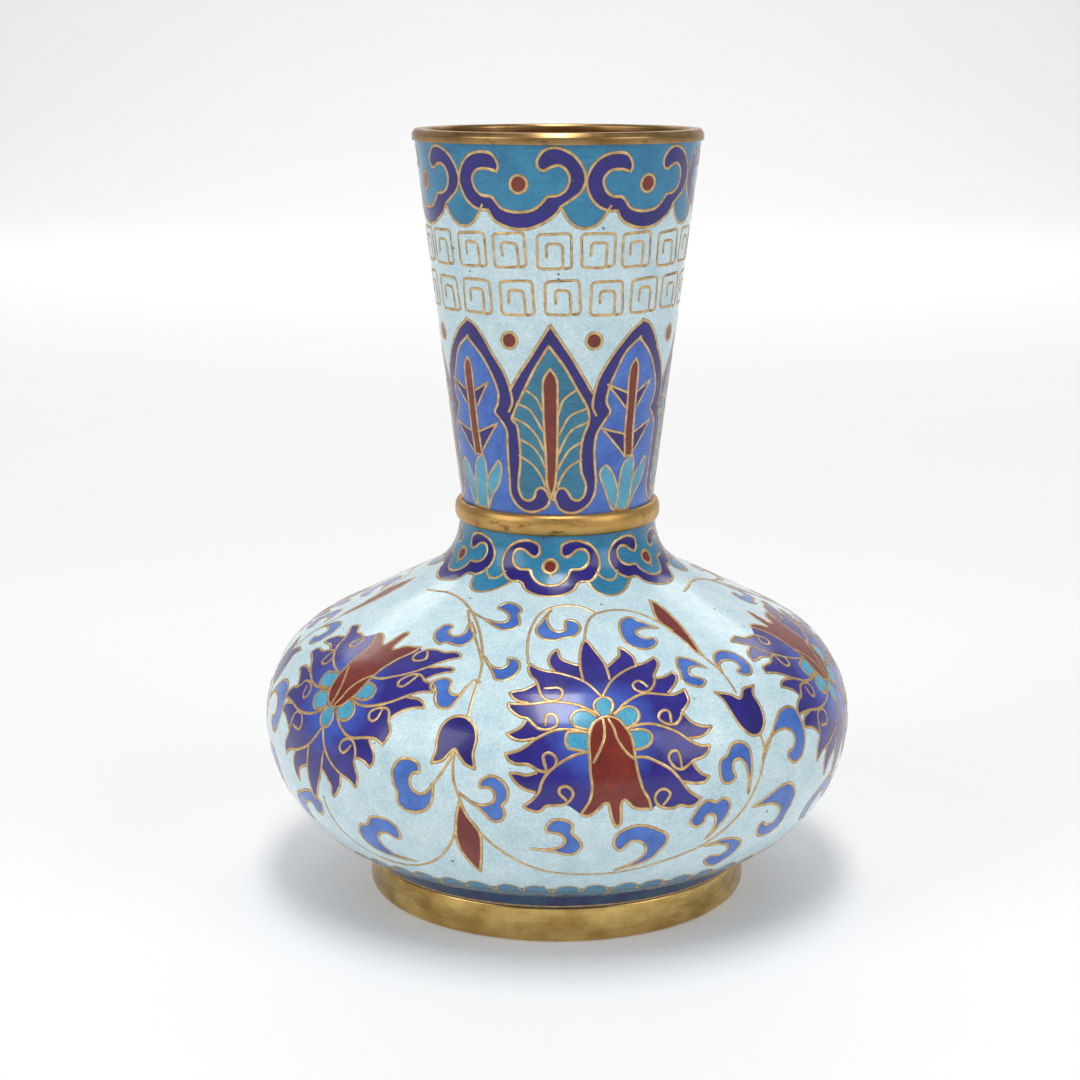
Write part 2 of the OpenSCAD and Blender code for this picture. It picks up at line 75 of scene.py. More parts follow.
rim_low, rim_high = box_mm("mouth_rim")
collar_low, collar_high = box_mm("collar_band")
foot_high = box_mm("foot_ring")[1]
VASE_H, RIM_Z, COLLAR_Z, COLLAR_TOP = rim_high[2], rim_low[2], collar_low[2], collar_high[2]
FOOT_H, FOOT_R, COLLAR_R = foot_high[2], foot_high[0], collar_high[0]
BELLY_R, BELLY_Z = box_mm("belly_ground")[1][0], box_mm("upper_body")[0][2]
RIM_PROUD = 0.2
MOUTH_R, WAIST_R, FLARE_IN, FLARE_Z = rim_high[0] - RIM_PROUD, 15.9, 16.4, 62.6
FLARE_R, UPPER_R, LOWER_R, COVE_Z = 9.0, 17.2, 22.5, 8.6
ENAMEL = 0.95

# the flare under the collar, the two arcs of the belly, and where they meet
flare_c = np.array([FLARE_IN + FLARE_R, FLARE_Z])
upper_c = np.array([BELLY_R - UPPER_R, BELLY_Z])
lower_c = np.array([BELLY_R - LOWER_R, BELLY_Z])
apart = flare_c - upper_c
LEAN = math.asin((FLARE_R + UPPER_R) / np.linalg.norm(apart)) + math.atan2(-apart[0], apart[1])
lean_n = np.array([math.cos(LEAN), math.sin(LEAN)])
UNDER = math.asin((BELLY_Z - COVE_Z) / LOWER_R)
cove_r = lower_c[0] + LOWER_R * math.cos(UNDER)


# each stretch of wall: its length, and the radius, height and lean at t along it
def straight(a, b):
    a, b = np.array(a, float), np.array(b, float)
    length = np.linalg.norm(b - a)
    way = (b - a) / length
    lean = math.atan2(way[0], -way[1])
    return length, lambda t: (a[0] + way[0] * t, a[1] + way[1] * t, lean + 0 * t)


def hollow(centre, radius, turn):
    return radius * turn, lambda t: (centre[0] - radius * np.cos(t / radius),
                                     centre[1] - radius * np.sin(t / radius), t / radius)


def full(centre, radius, first, turn):
    return radius * turn, lambda t: (centre[0] + radius * np.cos(first - t / radius),
                                     centre[1] + radius * np.sin(first - t / radius),
                                     first - t / radius)


WALL = [straight((MOUTH_R, VASE_H), (WAIST_R, COLLAR_TOP)),
        straight((WAIST_R, COLLAR_TOP), (FLARE_IN, FLARE_Z)),
        hollow(flare_c, FLARE_R, LEAN),
        straight(flare_c - FLARE_R * lean_n, upper_c + UPPER_R * lean_n),
        full(upper_c, UPPER_R, LEAN, LEAN),
        full(lower_c, LOWER_R, 0, UNDER),
        straight((cove_r, COVE_Z), (FOOT_R, FOOT_H))]
V_END = sum(length for length, _ in WALL)


def wall(v):
    """Radius, height and lean of the outward normal at the distance v down the wall."""
    v = np.asarray(v, float)
    out, first = None, 0.0
    for length, place in WALL:
        here = np.array(place(v - first))
        out = here if out is None else np.where(v >= first, here, out)
        first += length
    return out


V_COLLAR = WALL[0][0]
V_SHOULDER = WALL[0][0] + (COLLAR_TOP - COLLAR_Z)
V_RIM = VASE_H - RIM_Z


def surface(turn, v):
    """Places on the wall and outward normals, for angles in degrees from the front."""
    r, z, lean = wall(v)
    a = np.radians(turn)
    place = np.stack([r * np.sin(a), -r * np.cos(a), z], -1)
    normal = np.stack([np.cos(lean) * np.sin(a), -np.cos(lean) * np.cos(a), np.sin(lean)], -1)
    return place, normal


# ---- smooth lines ----------------------------------------------------------------------

def spline(points, loop, step):
    p = np.array(points, float)
    if loop:
        p = np.vstack([p[-1:], p, p[:2]])
    else:
        p = np.vstack([2 * p[0] - p[1], p, 2 * p[-1] - p[-2]])
    gap = np.sqrt(np.linalg.norm(np.diff(p, axis=0), axis=1)) + 1e-6
    slope = np.diff(p, axis=0) / gap[:, None]
    way = (slope[:-1] * gap[1:, None] + slope[1:] * gap[:-1, None]) / (gap[:-1] + gap[1:])[:, None]
    out = []
    for i in range(1, len(p) - 2):
        n = max(1, math.ceil(np.linalg.norm(p[i + 1] - p[i]) / step))
        s = (np.arange(n) / n)[:, None]
        out.append((2 * s ** 3 - 3 * s ** 2 + 1) * p[i] + (3 * s ** 2 - 2 * s ** 3) * p[i + 1]
                   + ((s ** 3 - 2 * s ** 2 + s) * way[i - 1] + (s ** 3 - s ** 2) * way[i]) * gap[i])
    out.append(out[0][:1] if loop else p[-2:-1])
    return np.vstack(out)


def curve(points, loop=False, step=0.42):
    """Smooth runs through the points, split where a point has a third entry."""
    sharp = [len(p) > 2 for p in points]
    points = [p[:2] for p in points]
    if loop and not any(sharp):
        return [spline(points, True, step)]
    if loop:
        k = sharp.index(True)
        points = points[k:] + points[:k] + [points[k]]
        sharp = sharp[k:] + sharp[:k] + [True]
    stops = sorted({0, len(points) - 1} | {i for i, s in enumerate(sharp) if s})
    return [spline(points[a:b + 1], False, step) for a, b in zip(stops, stops[1:])]


def rounded(outline, radius, steps=4, closed=True):
    """The outline with each corner cut by a short curve."""
    out, n = [], len(outline)
    for i in range(n):
        p, q, r = (np.array(outline[k % n], float) for k in (i - 1, i, i + 1))
        if not closed and i in (0, n - 1):
            out.append(q)
            continue
        cut = min(radius, np.linalg.norm(p - q) * 0.45, np.linalg.norm(r - q) * 0.45)
        a, b = q + (p - q) / np.linalg.norm(p - q) * cut, q + (r - q) / np.linalg.norm(r - q) * cut
        for t in np.linspace(0, 1, steps):
            out.append((1 - t) ** 2 * a + 2 * t * (1 - t) * q + t ** 2 * b)
    return out


def circle(x, v, r):
    """Eight points round a circle, to be joined smoothly."""
    return [(x + r * math.sin(a * math.pi / 4), v + r * math.cos(a * math.pi / 4)) for a in range(8)]


def to_turn(run, turn):
    """From millimetres along the wall to degrees round it."""
    out = np.array(run, float)
    out[:, 0] = turn + np.degrees(out[:, 0] / wall(out[:, 1])[0])
    return out


# ---- the drawing board -----------------------------------------------------------------

# half widths of the flat wires, the gap kept clear round them, and the steps of the sheet's rim
WIRE, FRET_WIRE, STEM_WIRE, FINE_WIRE, VEIN_WIRE, THIN_WIRE = 0.26, 0.22, 0.22, 0.2, 0.19, 0.15
CLEAR = 0.45
RIM_STEPS = 241


class Board:
    """A sheet of wall on which cells and wires are drawn, then cut apart into pieces."""

    def __init__(self, top, bottom, stretch, ground):
        self.top, self.bottom, self.stretch = top, bottom, stretch
        self.verts, self.edges, self.faces, self.names = [], [], [], []
        self.cells, self.middles = [], []
        self.metal = "wire"
        ring = np.linspace(-180, 180, RIM_STEPS)
        rows = np.arange(top, bottom, 1.0)[1:]
        edge = [(t, top) for t in ring] + [(180, v) for v in rows]
        edge += [(t, bottom) for t in ring[::-1]] + [(-180, v) for v in rows[::-1]]
        self.ground = ground
        self.put(np.array(edge), ground)

    def put(self, outline, name, rank=None):
        """Adds a filled shape: with a rank it is a cell under the wires, without it is wire."""
        x, y = outline.T
        area = np.sum(x * np.roll(y, -1) - np.roll(x, -1) * y)
        if abs(area) < 1e-5:
            return
        if area < 0:
            outline = outline[::-1]
        for shift in (0, -360, 360):
            moved = outline + [shift, 0]
            if shift and (moved[:, 0].max() <= -180 or moved[:, 0].min() >= 180):
                continue
            first, n = len(self.verts), len(moved)
            flat = moved * [self.stretch, 1]
            self.verts += flat.tolist()
            if rank is None:
                self.faces.append(list(range(first, first + n)))
                self.names.append(name)
            else:
                self.edges += [(first + i, first + (i + 1) % n) for i in range(n)]
                self.cells.append((rank, len(self.cells), name, flat))

    def fenced(self, outline, name, rank, turn, move=None, half=WIRE):
        """A cell with its own closed wire round it."""
        self.cell(outline, name, rank, turn, move)
        self.wire(outline, turn, True, move, half)

    def cell(self, outline, name, rank, turn=0.0, move=None):
        runs = [r[:-1] for r in curve(outline, loop=True)]
        self.put(to_turn(shifted(np.vstack(runs), move), turn), name, rank)

    def wire(self, line, turn=0.0, loop=False, move=None, half=WIRE):
        """A flat wire along a line, half its width to each side."""
        for run in curve(line, loop):
            self.strip(to_turn(shifted(run, move), turn), half)

    def strip(self, run, half=WIRE):
        scale = np.radians(wall(run[:, 1])[0])
        way = np.gradient(run, axis=0)
        closed = np.allclose(run[0], run[-1], atol=1e-4)
        if closed:
            way[0] = way[-1] = (run[1] - run[-2]) / 2
        way[:, 0] *= scale
        way /= np.linalg.norm(way, axis=1)[:, None] + 1e-9
        side = np.stack([-way[:, 1] / scale, way[:, 0]], -1) * half
        left, right = run + side, run - side
        for i in range(len(run) - 1):
            for side in (left, right):
                self.put(np.array([side[i], run[i], run[i + 1]]), self.metal)
                self.put(np.array([side[i], run[i + 1], side[i + 1]]), self.metal)
        if not closed:
            for end, s in ((run[0], scale[0]), (run[-1], scale[-1])):
                cap = [(end[0] + half * math.sin(a) / s, end[1] + half * math.cos(a))
                       for a in np.arange(8) * math.pi / 4]
                self.put(np.array(cap), self.metal)
        self.middles += [(t, v, half) for t, v in run]

    def cut(self, grid_turn, grid_v):
        """Cuts the sheet into triangles and names each after the top thing drawn over it."""
        near = kdtree.KDTree(len(self.middles))
        for i, (t, v, _) in enumerate(self.middles):
            near.insert((t * self.stretch, v, 0), i)
        near.balance()
        for v in np.arange(self.top, self.bottom, grid_v)[1:]:
            for t in np.arange(-180, 180, grid_turn)[1:]:
                if near.find((t * self.stretch, v, 0))[2] > CLEAR:
                    self.verts.append((t * self.stretch, v))
        flat = [Vector(p) for p in self.verts]
        verts, _, faces, _, _, source = delaunay_2d_cdt(flat, self.edges, self.faces, 1, 1e-5, True)
        kept = [(face, max(under)) for face, under in zip(faces, source) if 0 in under]
        tris = np.array([face for face, _ in kept])
        names = np.array([self.names[top] if top else self.ground for _, top in kept], object)
        spots = np.array([tuple(p) for p in verts])
        middle = spots[tris].mean(axis=1)
        bare = np.array([top == 0 for _, top in kept])
        for _, _, name, outline in sorted(self.cells, key=lambda c: c[:2]):
            low, high = outline.min(axis=0), outline.max(axis=0)
            boxed = np.flatnonzero(bare & (middle > low).all(axis=1) & (middle < high).all(axis=1))
            names[boxed[inside(middle[boxed], outline)]] = name
        return spots / [self.stretch, 1], {n: tris[names == n][:, ::-1] for n in sorted(set(names))}


def inside(spots, outline):
    """Which spots the outline winds round."""
    x, y = spots.T
    turns = np.zeros(len(spots), int)
    for (x0, y0), (x1, y1) in zip(outline, np.roll(outline, -1, axis=0)):
        left = (x1 - x0) * (y - y0) - (x - x0) * (y1 - y0) > 0
        turns += ((y0 <= y) & (y1 > y) & left).astype(int) - ((y0 > y) & (y1 <= y) & ~left)
    return turns != 0


def shifted(run, move):
    """A small hand-made difference between copies: moved, turned and scaled about a middle."""
    if move is None:
        return run
    (mx, mv), dx, dv, turn, size = move
    c, s = math.cos(turn) * size, math.sin(turn) * size
    rel = np.asarray(run) - [mx, mv]
    return np.stack([mx + dx + c * rel[:, 0] - s * rel[:, 1],
                     mv + dv + s * rel[:, 0] + c * rel[:, 1]], -1)


def loose(middle, amount=1.0):
    """One copy's own small shift, turn and size."""
    return (middle, dice.uniform(-0.16, 0.16) * amount, dice.uniform(-0.12, 0.12) * amount,
            dice.uniform(-0.012, 0.012) * amount, 1 + dice.uniform(-0.012, 0.012) * amount)


# ---- neck: mouth border ----------------------------------------------------------------

RIM_HEAD = [(-3.4, 4.6), (-3.3, 4.0), (-2.2, 2.6), (-0.5, 2.2), (2, 3.2), (3.7, 5.3), (4.1, 7.2),
            (3.4, 8.9), (1.8, 10.2), (0.3, 11.2, 1), (-0.5, 12.4), (-2.5, 13.8), (-5, 14.7),
            (-8, 14.5), (-10.5, 13.3), (-11.4, 11.9, 1), (-13.5, 11.7), (-15.7, 10.2), (-17, 7.3),
            (-16.4, 5), (-14.8, 3.4), (-12.5, 2.9), (-10.6, 3.3), (-9.6, 5), (-9.9, 5.9, 1),
            (-11.5, 5.5), (-13.4, 5.7), (-14.3, 6.9), (-13.7, 8.7), (-12.5, 9.6), (-10.8, 9.8),
            (-10.2, 10.4), (-9, 11.6), (-6.5, 12.1), (-4, 11.7), (-2.5, 10.5), (-1.8, 9.7),
            (-0.3, 9.5), (1, 8.7), (1.6, 7), (1.1, 5.6), (0, 4.9), (-1.3, 5.2), (-2.3, 5.7),
            (-3.1, 5.4)]
RIM_SCALLOP = [(0.3, 11.2, 1), (1.2, 13), (2.5, 14.2), (4.2, 14.6), (5.8, 14.1), (7, 13),
               (8.2, 11.2, 1)]
HEAD_FLOOR = [(-10.4, 10.2), (-9.2, 12.2), (-6.5, 12.9), (-3.6, 12.4), (-2, 10.4), (-6.3, 9)]
FRET = [(-1.1, 0.8), (-1.2, -1.25), (1.3, -1.2), (1.45, 2.7), (-2.6, 2.65), (-2.7, -2.6),
        (2.65, -2.75), (2.85, 2.55), (1.6, 2.65)]


def band(board, name, rank, v_top, v_bottom):
    """A stripe right round the vase."""
    ring = np.linspace(-181, 181, 182)
    low = [(t, v_bottom) for t in ring[::-1]]
    board.put(np.array([(t, v_top) for t in ring] + low), name, rank)


def squeezed(line, middle, by):
    """The line made narrower about a middle."""
    return [((p[0] - middle) * by + middle,) + tuple(p[1:]) for p in line]


def mouth_border(board):
    """Seven heads: four at full width, and three closed up to fill what is left of the turn."""
    band(board, "rim_turquoise", 1, V_RIM - 1, 11.25)
    wide, close, gap, back = 54.0, 0.89, 48.0, 207.0
    head_x, scallop_x, dot_v, dot_r = -6.3, 4.2, 7.8, 1.38
    turns = [-wide, 0, wide, 2 * wide] + [back + k * gap for k in (-1, 0, 1)]
    for i, turn in enumerate(turns):
        fit = close if i > 3 else 1.0
        move = loose((head_x, 8), 0.6)
        board.fenced(squeezed(RIM_HEAD, head_x, fit), "rim_heads", 3, turn, move)
        after = (turns[(i + 1) % len(turns)] - turn) % 360
        scallop = squeezed(RIM_SCALLOP, scallop_x, fit)
        board.cell(scallop, "rim_turquoise", 2, turn - (wide - after) / 2)
        board.wire(scallop, turn - (wide - after) / 2)
        board.cell(squeezed(HEAD_FLOOR, head_x, fit), "rim_turquoise", 2, turn)
        board.fenced(circle(head_x, dot_v, dot_r), "rim_dots", 4, turn, move)


def fret_bands(board):
    """Two rows of square spirals, each bent a little differently by hand."""
    slack, bend, steps = 0.12, 0.75, 7
    for v, count, first in ((18.2, 19, -2.5), (25.5, 18, 1.2)):
        for i in range(count):
            corners = np.array(FRET)
            corners += [[dice.uniform(-slack, slack), dice.uniform(-slack, slack)] for _ in FRET]
            line = shifted(rounded(corners, bend, steps, False), loose((0, 0), 1.4))
            board.strip(to_turn(line + [0, v], first + i * 360 / count), FRET_WIRE)


# ---- neck: palm and bamboo panels ------------------------------------------------------

PALM_TOP = [(-7.75, 40.5), (-6.2, 37.8), (-4.3, 34.9), (-1.2, 29.8, 1), (2, 34.6), (4, 38),
            (5.7, 41)]
BAMBOO_TOP = [(-17.2, 29.4), (-15.3, 30.2), (-13.5, 32), (-11.5, 34.8), (-9.5, 37.3), (-8.2, 40),
              (-7.6, 42.5), (-8.1, 44)]
BAMBOO_TOP_L = [(15.3, 29.7), (13.2, 31), (11, 33), (8.8, 35.5), (6.8, 38.5), (5.8, 41.5),
                (5.6, 43.2), (6.1, 44.5)]
PALM_LEFT = [(-1.4, 33.1), (-3.6, 36.8), (-5.3, 40.2), (-7.2, 44.4), (-7.5, 45.2), (-6.6, 46.2),
             (-6.2, 48.5), (-6, 52), (-6.3, 55), (-6.3, 57), (-5.6, 58.4), (-4.6, 58.7),
             (-3.8, 58.2), (-3.4, 56.9), (-2.6, 56.4), (-1.8, 56.9), (-1.3, 58)]
PALM_RIGHT = [(-0.5, 58.4), (-0.4, 57.6), (0.2, 56.6), (1.1, 56.5), (1.7, 57.2), (2.3, 58.2),
              (3.3, 58.6), (4.3, 57.8), (4.6, 56), (3.9, 54), (3.7, 51), (4.1, 48), (5, 45.6),
              (4.9, 43.6), (3, 40), (1, 36.4)]
FRAME_LEFT = [(-1.3, 58), (-1.6, 59.3), (-3, 60.3), (-4.8, 60.6), (-6.5, 59.8), (-7.8, 58),
              (-8.1, 55), (-8.4, 50), (-8.6, 47), (-9.8, 45.3), (-10.7, 44.3), (-10.2, 42.8),
              (-10.2, 41), (-11.3, 38.5), (-13.5, 35.4), (-17, 32.3)]
FRAME_RIGHT = [(-0.5, 58.4), (0.3, 60), (2.2, 60.7), (4.2, 60), (5.7, 58.3), (6.2, 56), (6, 53),
               (5.9, 50), (6.3, 47.5), (7.6, 45.5), (8.6, 44), (8, 42.5), (8.4, 40.5),
               (10, 37.3), (12, 34.3), (15, 32.2)]
SPINE = [(-1.2, 36.8, 1), (-2.2, 38.5), (-2.3, 42), (-2.1, 47), (-1.8, 52), (-1.6, 56),
         (-0.9, 57.9, 1), (-0.4, 56), (-0.1, 52), (0, 47), (0, 42), (-0.2, 38.3)]
VEINS = [[(-5.3, 40.2), (-3.5, 41.5), (-2.3, 43.8)], [(-6.5, 42.6), (-4.5, 43.5), (-2.3, 47)],
         [(-7.3, 45), (-5, 46), (-3.2, 48), (-2.1, 50.3)],
         [(-6.2, 48.4), (-4, 49.6), (-2.6, 51.5), (-2, 53)],
         [(-6.2, 51.2), (-4, 52.6), (-2.6, 54.5), (-1.9, 56.2)],
         [(3, 40.2), (1, 41.8), (0.1, 44.3)], [(4.8, 43.3), (2, 44.5), (0.3, 47.5)],
         [(4.8, 45.6), (2.3, 46.8), (0.9, 49), (0.1, 51)],
         [(3.9, 48.8), (2, 50), (0.6, 52.2), (0, 53.5)],
         [(3.8, 51.7), (1.8, 53), (0.5, 55), (0, 56.3)]]
STEM = [(-16.4, 35.7, 1), (-17.2, 37), (-16.6, 43), (-16, 48), (-15.2, 51.8, 1), (-13.6, 51.7, 1),
        (-14.4, 47), (-15, 42), (-15.7, 36.8)]
BAMBOO_LEAVES = [[(-15, 41.2), (-12, 39.5, 1), (-14.3, 43.5)],
                 [(-16.9, 41.2), (-21, 39.6, 1), (-17, 43.5)],
                 [(-14.4, 48), (-10.3, 46.2, 1), (-13.4, 51)],
                 [(-16.1, 48), (-20.5, 46.8, 1), (-15.4, 51.6)]]
SHOOTS = [[(-13.5, 51.6, 1), (-15.1, 53), (-15.4, 56), (-15, 60.8, 1), (-12.6, 60.8, 1),
           (-12.6, 56), (-12.9, 53)],
          [(-12.5, 58, 1), (-12.4, 55.6), (-11, 53.5), (-10.1, 52.4), (-9.6, 53.3), (-10, 56),
           (-11.5, 58.5), (-12.4, 60.8, 1)],
          [(-15.1, 58, 1), (-15.8, 56.5), (-17, 54.5), (-18.6, 53), (-19.4, 54), (-17.7, 57.5),
           (-16.3, 60), (-15.4, 60.9, 1)]]


PANELS, PANEL_LEAN, LEAN_FROM, LEAN_OVER = 4, 2.2, 44.5, 15
PANEL_DOT_V, PANEL_DOT_R, PANEL_DOTS = 32.4, 1.3, (-7.8, 5.8)


def turned_line(line, by, lean):
    """One run in degrees, moved round by an angle and leaned over towards its upper end."""
    run = to_turn(curve(line)[0], by)
    run[:, 0] += lean * np.clip((LEAN_FROM - run[:, 1]) / LEAN_OVER, 0, 1)
    return run


def neck_panels(board):
    """Palm panels at the quarter turns with the bamboo panels between them."""
    end, quarter = V_COLLAR + 1, 360.0 / PANELS
    for i in range(PANELS):
        turn = i * quarter
        a = turn + dice.uniform(-0.5, 0.5)
        top = PALM_TOP + [(7, end + 1, 1), (-9.2, end + 1, 1)]
        board.cell(top, "frames", 1, a)
        board.wire(PALM_TOP, a)
        left = turned_line(BAMBOO_TOP_L, turn - quarter, -PANEL_LEAN)
        right = turned_line(BAMBOO_TOP, turn, PANEL_LEAN)
        board.strip(left)
        board.strip(right)
        corners = [[right[-1][0] + 2, end], [left[-1][0] - 2, end]]
        board.put(np.vstack([left[:0:-1], right, corners]), "frames", 1)
        palm = [PALM_LEFT[0] + (1,)] + PALM_LEFT[1:] + PALM_RIGHT
        board.fenced(palm, "palm_field", 4, a)
        board.fenced(SPINE, "red_neck", 5, a, half=FINE_WIRE)
        for vein in VEINS:
            board.wire(vein, a, half=VEIN_WIRE)
        right = turned_line(FRAME_LEFT, turn, PANEL_LEAN)
        left = turned_line(FRAME_RIGHT, turn - quarter, -PANEL_LEAN)
        axis, low_here, low_next = turn - 3.2, 58.2, 58.4
        below = [[axis, low_here], [axis, end], [axis - quarter, end], [axis - quarter, low_next]]
        board.put(np.vstack([right[::-1], below, left[:-1]]), "bamboo_field", 3)
        board.strip(right)
        board.strip(left)
        for leaf in BAMBOO_LEAVES:
            board.cell(leaf, "bamboo_leaf", 4, turn)
            board.wire(leaf, turn, half=VEIN_WIRE)
        for shoot in SHOOTS:
            board.fenced(shoot, "bamboo_shoot", 5, turn, half=VEIN_WIRE)
        board.fenced(STEM, "red_neck", 6, turn, half=FINE_WIRE)
        for x in PANEL_DOTS:
            board.fenced(circle(x, PANEL_DOT_V, PANEL_DOT_R), "red_neck", 4, a)


# ---- shoulder border -------------------------------------------------------------------

HEAD_HALF = [(1.7, 66.6), (1.9, 65.8), (3.1, 65.2), (4.5, 65.2), (6.5, 66), (7.8, 67.6),
             (8.2, 69.2), (7.8, 70.8), (6.6, 72), (5.1, 72, 1), (4.5, 72.4), (4, 73.5),
             (2.3, 74.6), (0, 75)]
HEAD_IN = [(0, 72.7), (1.8, 72.2), (2.9, 71), (3.3, 70), (5.1, 69.8), (6.1, 69), (6.2, 67.6),
           (5.5, 66.7), (4.3, 66.7), (3.3, 67.5), (2.5, 67.8), (1.8, 67.3)]
GAP_SCALLOP = [(6, 72.2, 1), (7, 73.8), (8.8, 75.1), (10.6, 75.4), (12.3, 74.4), (13.6, 72.2, 1)]


def mirrored(half):
    return [(-p[0],) + tuple(p[1:]) for p in half[::-1] if p[0] > 0.01]


def shoulder_border(board):
    """Six cloud heads under the collar, with a hanging scallop after each."""
    band(board, "shoulder_turquoise", 1, V_SHOULDER - 1, 72.3)
    count, first, dot_v, dot_r = 6, -4, 69.3, 1.15
    for i in range(count):
        turn = first + i * 360 / count
        move = loose((0, dot_v))
        head = HEAD_HALF + mirrored(HEAD_HALF) + [(-x, v) for x, v in HEAD_IN[::-1]] + HEAD_IN[1:]
        board.cell(head, "shoulder_heads", 3, turn, move)
        board.cell([(-3, 71), (0, 69.5), (3, 71), (0, 73.4)], "shoulder_turquoise", 2, turn)
        board.wire(head, turn, True, move)
        board.fenced(circle(0, dot_v, dot_r), "shoulder_dots", 4, turn, move, 0.3)
        board.wire([(0, 70.4), (0.1, 71.1)], turn, move=move, half=FINE_WIRE)
        board.cell(GAP_SCALLOP, "shoulder_turquoise", 2, turn + 1)
        board.wire(GAP_SCALLOP, turn + 1)
        board.wire([(-7.6, 70.6), (-8.8, 71.8), (-10.5, 72.2)], turn, half=FINE_WIRE)
        board.wire([(7.6, 70.6), (9, 71.8), (10.5, 72.2)], turn, half=FINE_WIRE)


# ---- lotus flowers ---------------------------------------------------------------------

L_TOP = [(3.4, 94.9), (3, 92), (2.9, 90), (3.05, 87.8), (3.4, 86.1), (3.75, 85.5, 1), (4.25, 86.1),
         (5.1, 87.8), (6, 89.5), (6.7, 91), (7.05, 92.2), (7.45, 94.5)]
L_LEFT1 = [(2.8, 91.3), (2, 91), (1, 90.5), (0.1, 89.9), (-0.3, 89), (-0.45, 88.1),
           (-0.6, 87.7, 1), (-1.1, 88.1), (-1.6, 89), (-1.9, 90.2), (-1.6, 91.5), (-0.95, 92.6)]
L_LEFT2 = [(6, 97.9), (5, 96.5), (3.75, 95.1), (2.5, 94.2), (1, 93.5), (-0.6, 92.9), (-2.25, 92.6),
           (-3.5, 92.1), (-4.4, 91.4), (-4.7, 91.1, 1), (-4.9, 91.8), (-4.9, 92.8), (-4.5, 93.9),
           (-3.75, 94.8), (-3.45, 95.8), (-3.2, 97), (-2.75, 98.1), (-2, 98.7), (-1.1, 98.8),
           (-0.25, 98.5), (0.25, 97.6), (0.1, 96.6), (-0.6, 96.2), (-1.5, 96.3), (-2.4, 96.4)]
L_LEFT3 = [(-3.75, 95.5), (-4.6, 96.2), (-5.6, 96.9), (-6.75, 97.2), (-7.75, 97.6, 1),
           (-7.25, 98.5), (-6.25, 99.1), (-5, 99.3)]
L_LEFT4 = [(5.6, 101.2), (4.5, 100.5), (3, 99.7), (1.25, 99.2), (-0.5, 99), (-2.5, 99.1),
           (-4.5, 99.5), (-6.25, 99.6), (-7.9, 99.6, 1), (-7.75, 100.4), (-7, 101.2), (-6, 101.8),
           (-5, 102), (-4.25, 102.7), (-3.4, 103.5), (-2.5, 103.7), (-1.5, 103.6), (-0.7, 103.1),
           (-0.45, 102.4), (-0.75, 101.5), (-1.5, 101.1), (-2.1, 101.5), (-2.25, 102.9)]
L_LEFT5 = [(-5.25, 102.4), (-5.9, 103.4), (-7, 104.1), (-8, 104.6, 1), (-7.25, 105.2),
           (-6, 105.5), (-5, 105.4), (-4, 105.1)]
L_LEFT6 = [(3.75, 104.1), (2.25, 103.7), (0.25, 103.6), (-1.25, 103.9), (-2.5, 104.5),
           (-3.75, 105.2), (-5, 106.2), (-6.25, 107), (-7.5, 107.4), (-8.2, 107.6, 1),
           (-7.75, 108.5), (-6.75, 109), (-5.25, 109), (-4.4, 109.2), (-3, 109.9), (-1.75, 109.9),
           (-0.75, 109.2), (-0.5, 108.4), (-1, 107.5), (-1.9, 107.2), (-2.5, 107.6),
           (-2.4, 108.6), (-2.1, 109.5)]
L_LEFT7 = [(-3.6, 110.2), (-5, 110.6), (-6.25, 110.4), (-7.5, 110.4, 1), (-7.1, 111.2),
           (-6.25, 112.1), (-5.25, 112.7), (-3.75, 113.1)]
L_LEFT8 = [(3.6, 107.1), (2.25, 107.5), (0.75, 108.2), (-0.75, 109.2), (-2, 110.4), (-2.75, 111.7),
           (-3.1, 113), (-3.9, 114.1), (-4.9, 115), (-5.4, 115.4, 1), (-4.25, 116), (-3, 116.1),
           (-2, 115.2), (-0.75, 115.1), (0.75, 114.9), (1.6, 114.2), (2, 113.2), (1.6, 112.5),
           (0.75, 112.1), (0, 112.4), (-0.1, 113.1), (0.9, 114.2)]
R_1 = [(7.25, 91.7), (7.9, 91), (8.6, 90.1), (9.1, 89.4), (9.05, 88.4), (9.2, 87.6, 1),
       (9.9, 88.1), (10.75, 89.1), (11.4, 90.1), (11.6, 91), (11.75, 91.9)]
R_2 = [(6.4, 97.9), (7, 96.5), (7.75, 95), (8.9, 93.7), (10.25, 92.7), (11.75, 92), (13.25, 91.5),
       (14.25, 90.9), (14.8, 90.5, 1), (15.25, 91.2), (15.45, 92.2), (15, 93.5), (14.6, 94.5),
       (14.7, 95.5), (14.4, 96.7), (13.6, 97.6), (12.6, 97.7), (11.6, 97.2), (11.1, 96.2),
       (11.4, 95.6), (12.1, 95.4), (12.9, 96), (13.4, 96.7)]
R_3 = [(14.75, 95.2), (16, 95.1), (17, 94.7), (17.75, 94.2, 1), (18.4, 95), (18.4, 96),
       (18, 96.9), (16.9, 98.2)]
R_4 = [(8.25, 101.4), (9.25, 100), (10.5, 99), (12, 98.2), (13.5, 98), (15, 98.3), (16.5, 98.6),
       (17.75, 98.7), (18.75, 98.4), (19.6, 98, 1), (20, 99), (20.25, 100.1), (19.6, 101.2),
       (19.1, 101.7), (18.75, 102.7), (18, 103.5), (17, 103.6), (15.75, 103.1), (15.1, 102.4),
       (15.4, 101.5), (16.25, 101.2), (16.9, 101.7), (17.1, 103.2)]
R_5 = [(19.1, 102), (20, 103.1), (21, 103.9), (22.5, 104.5), (24, 104.7, 1), (23.25, 105.5),
       (22, 106), (20.2, 106)]
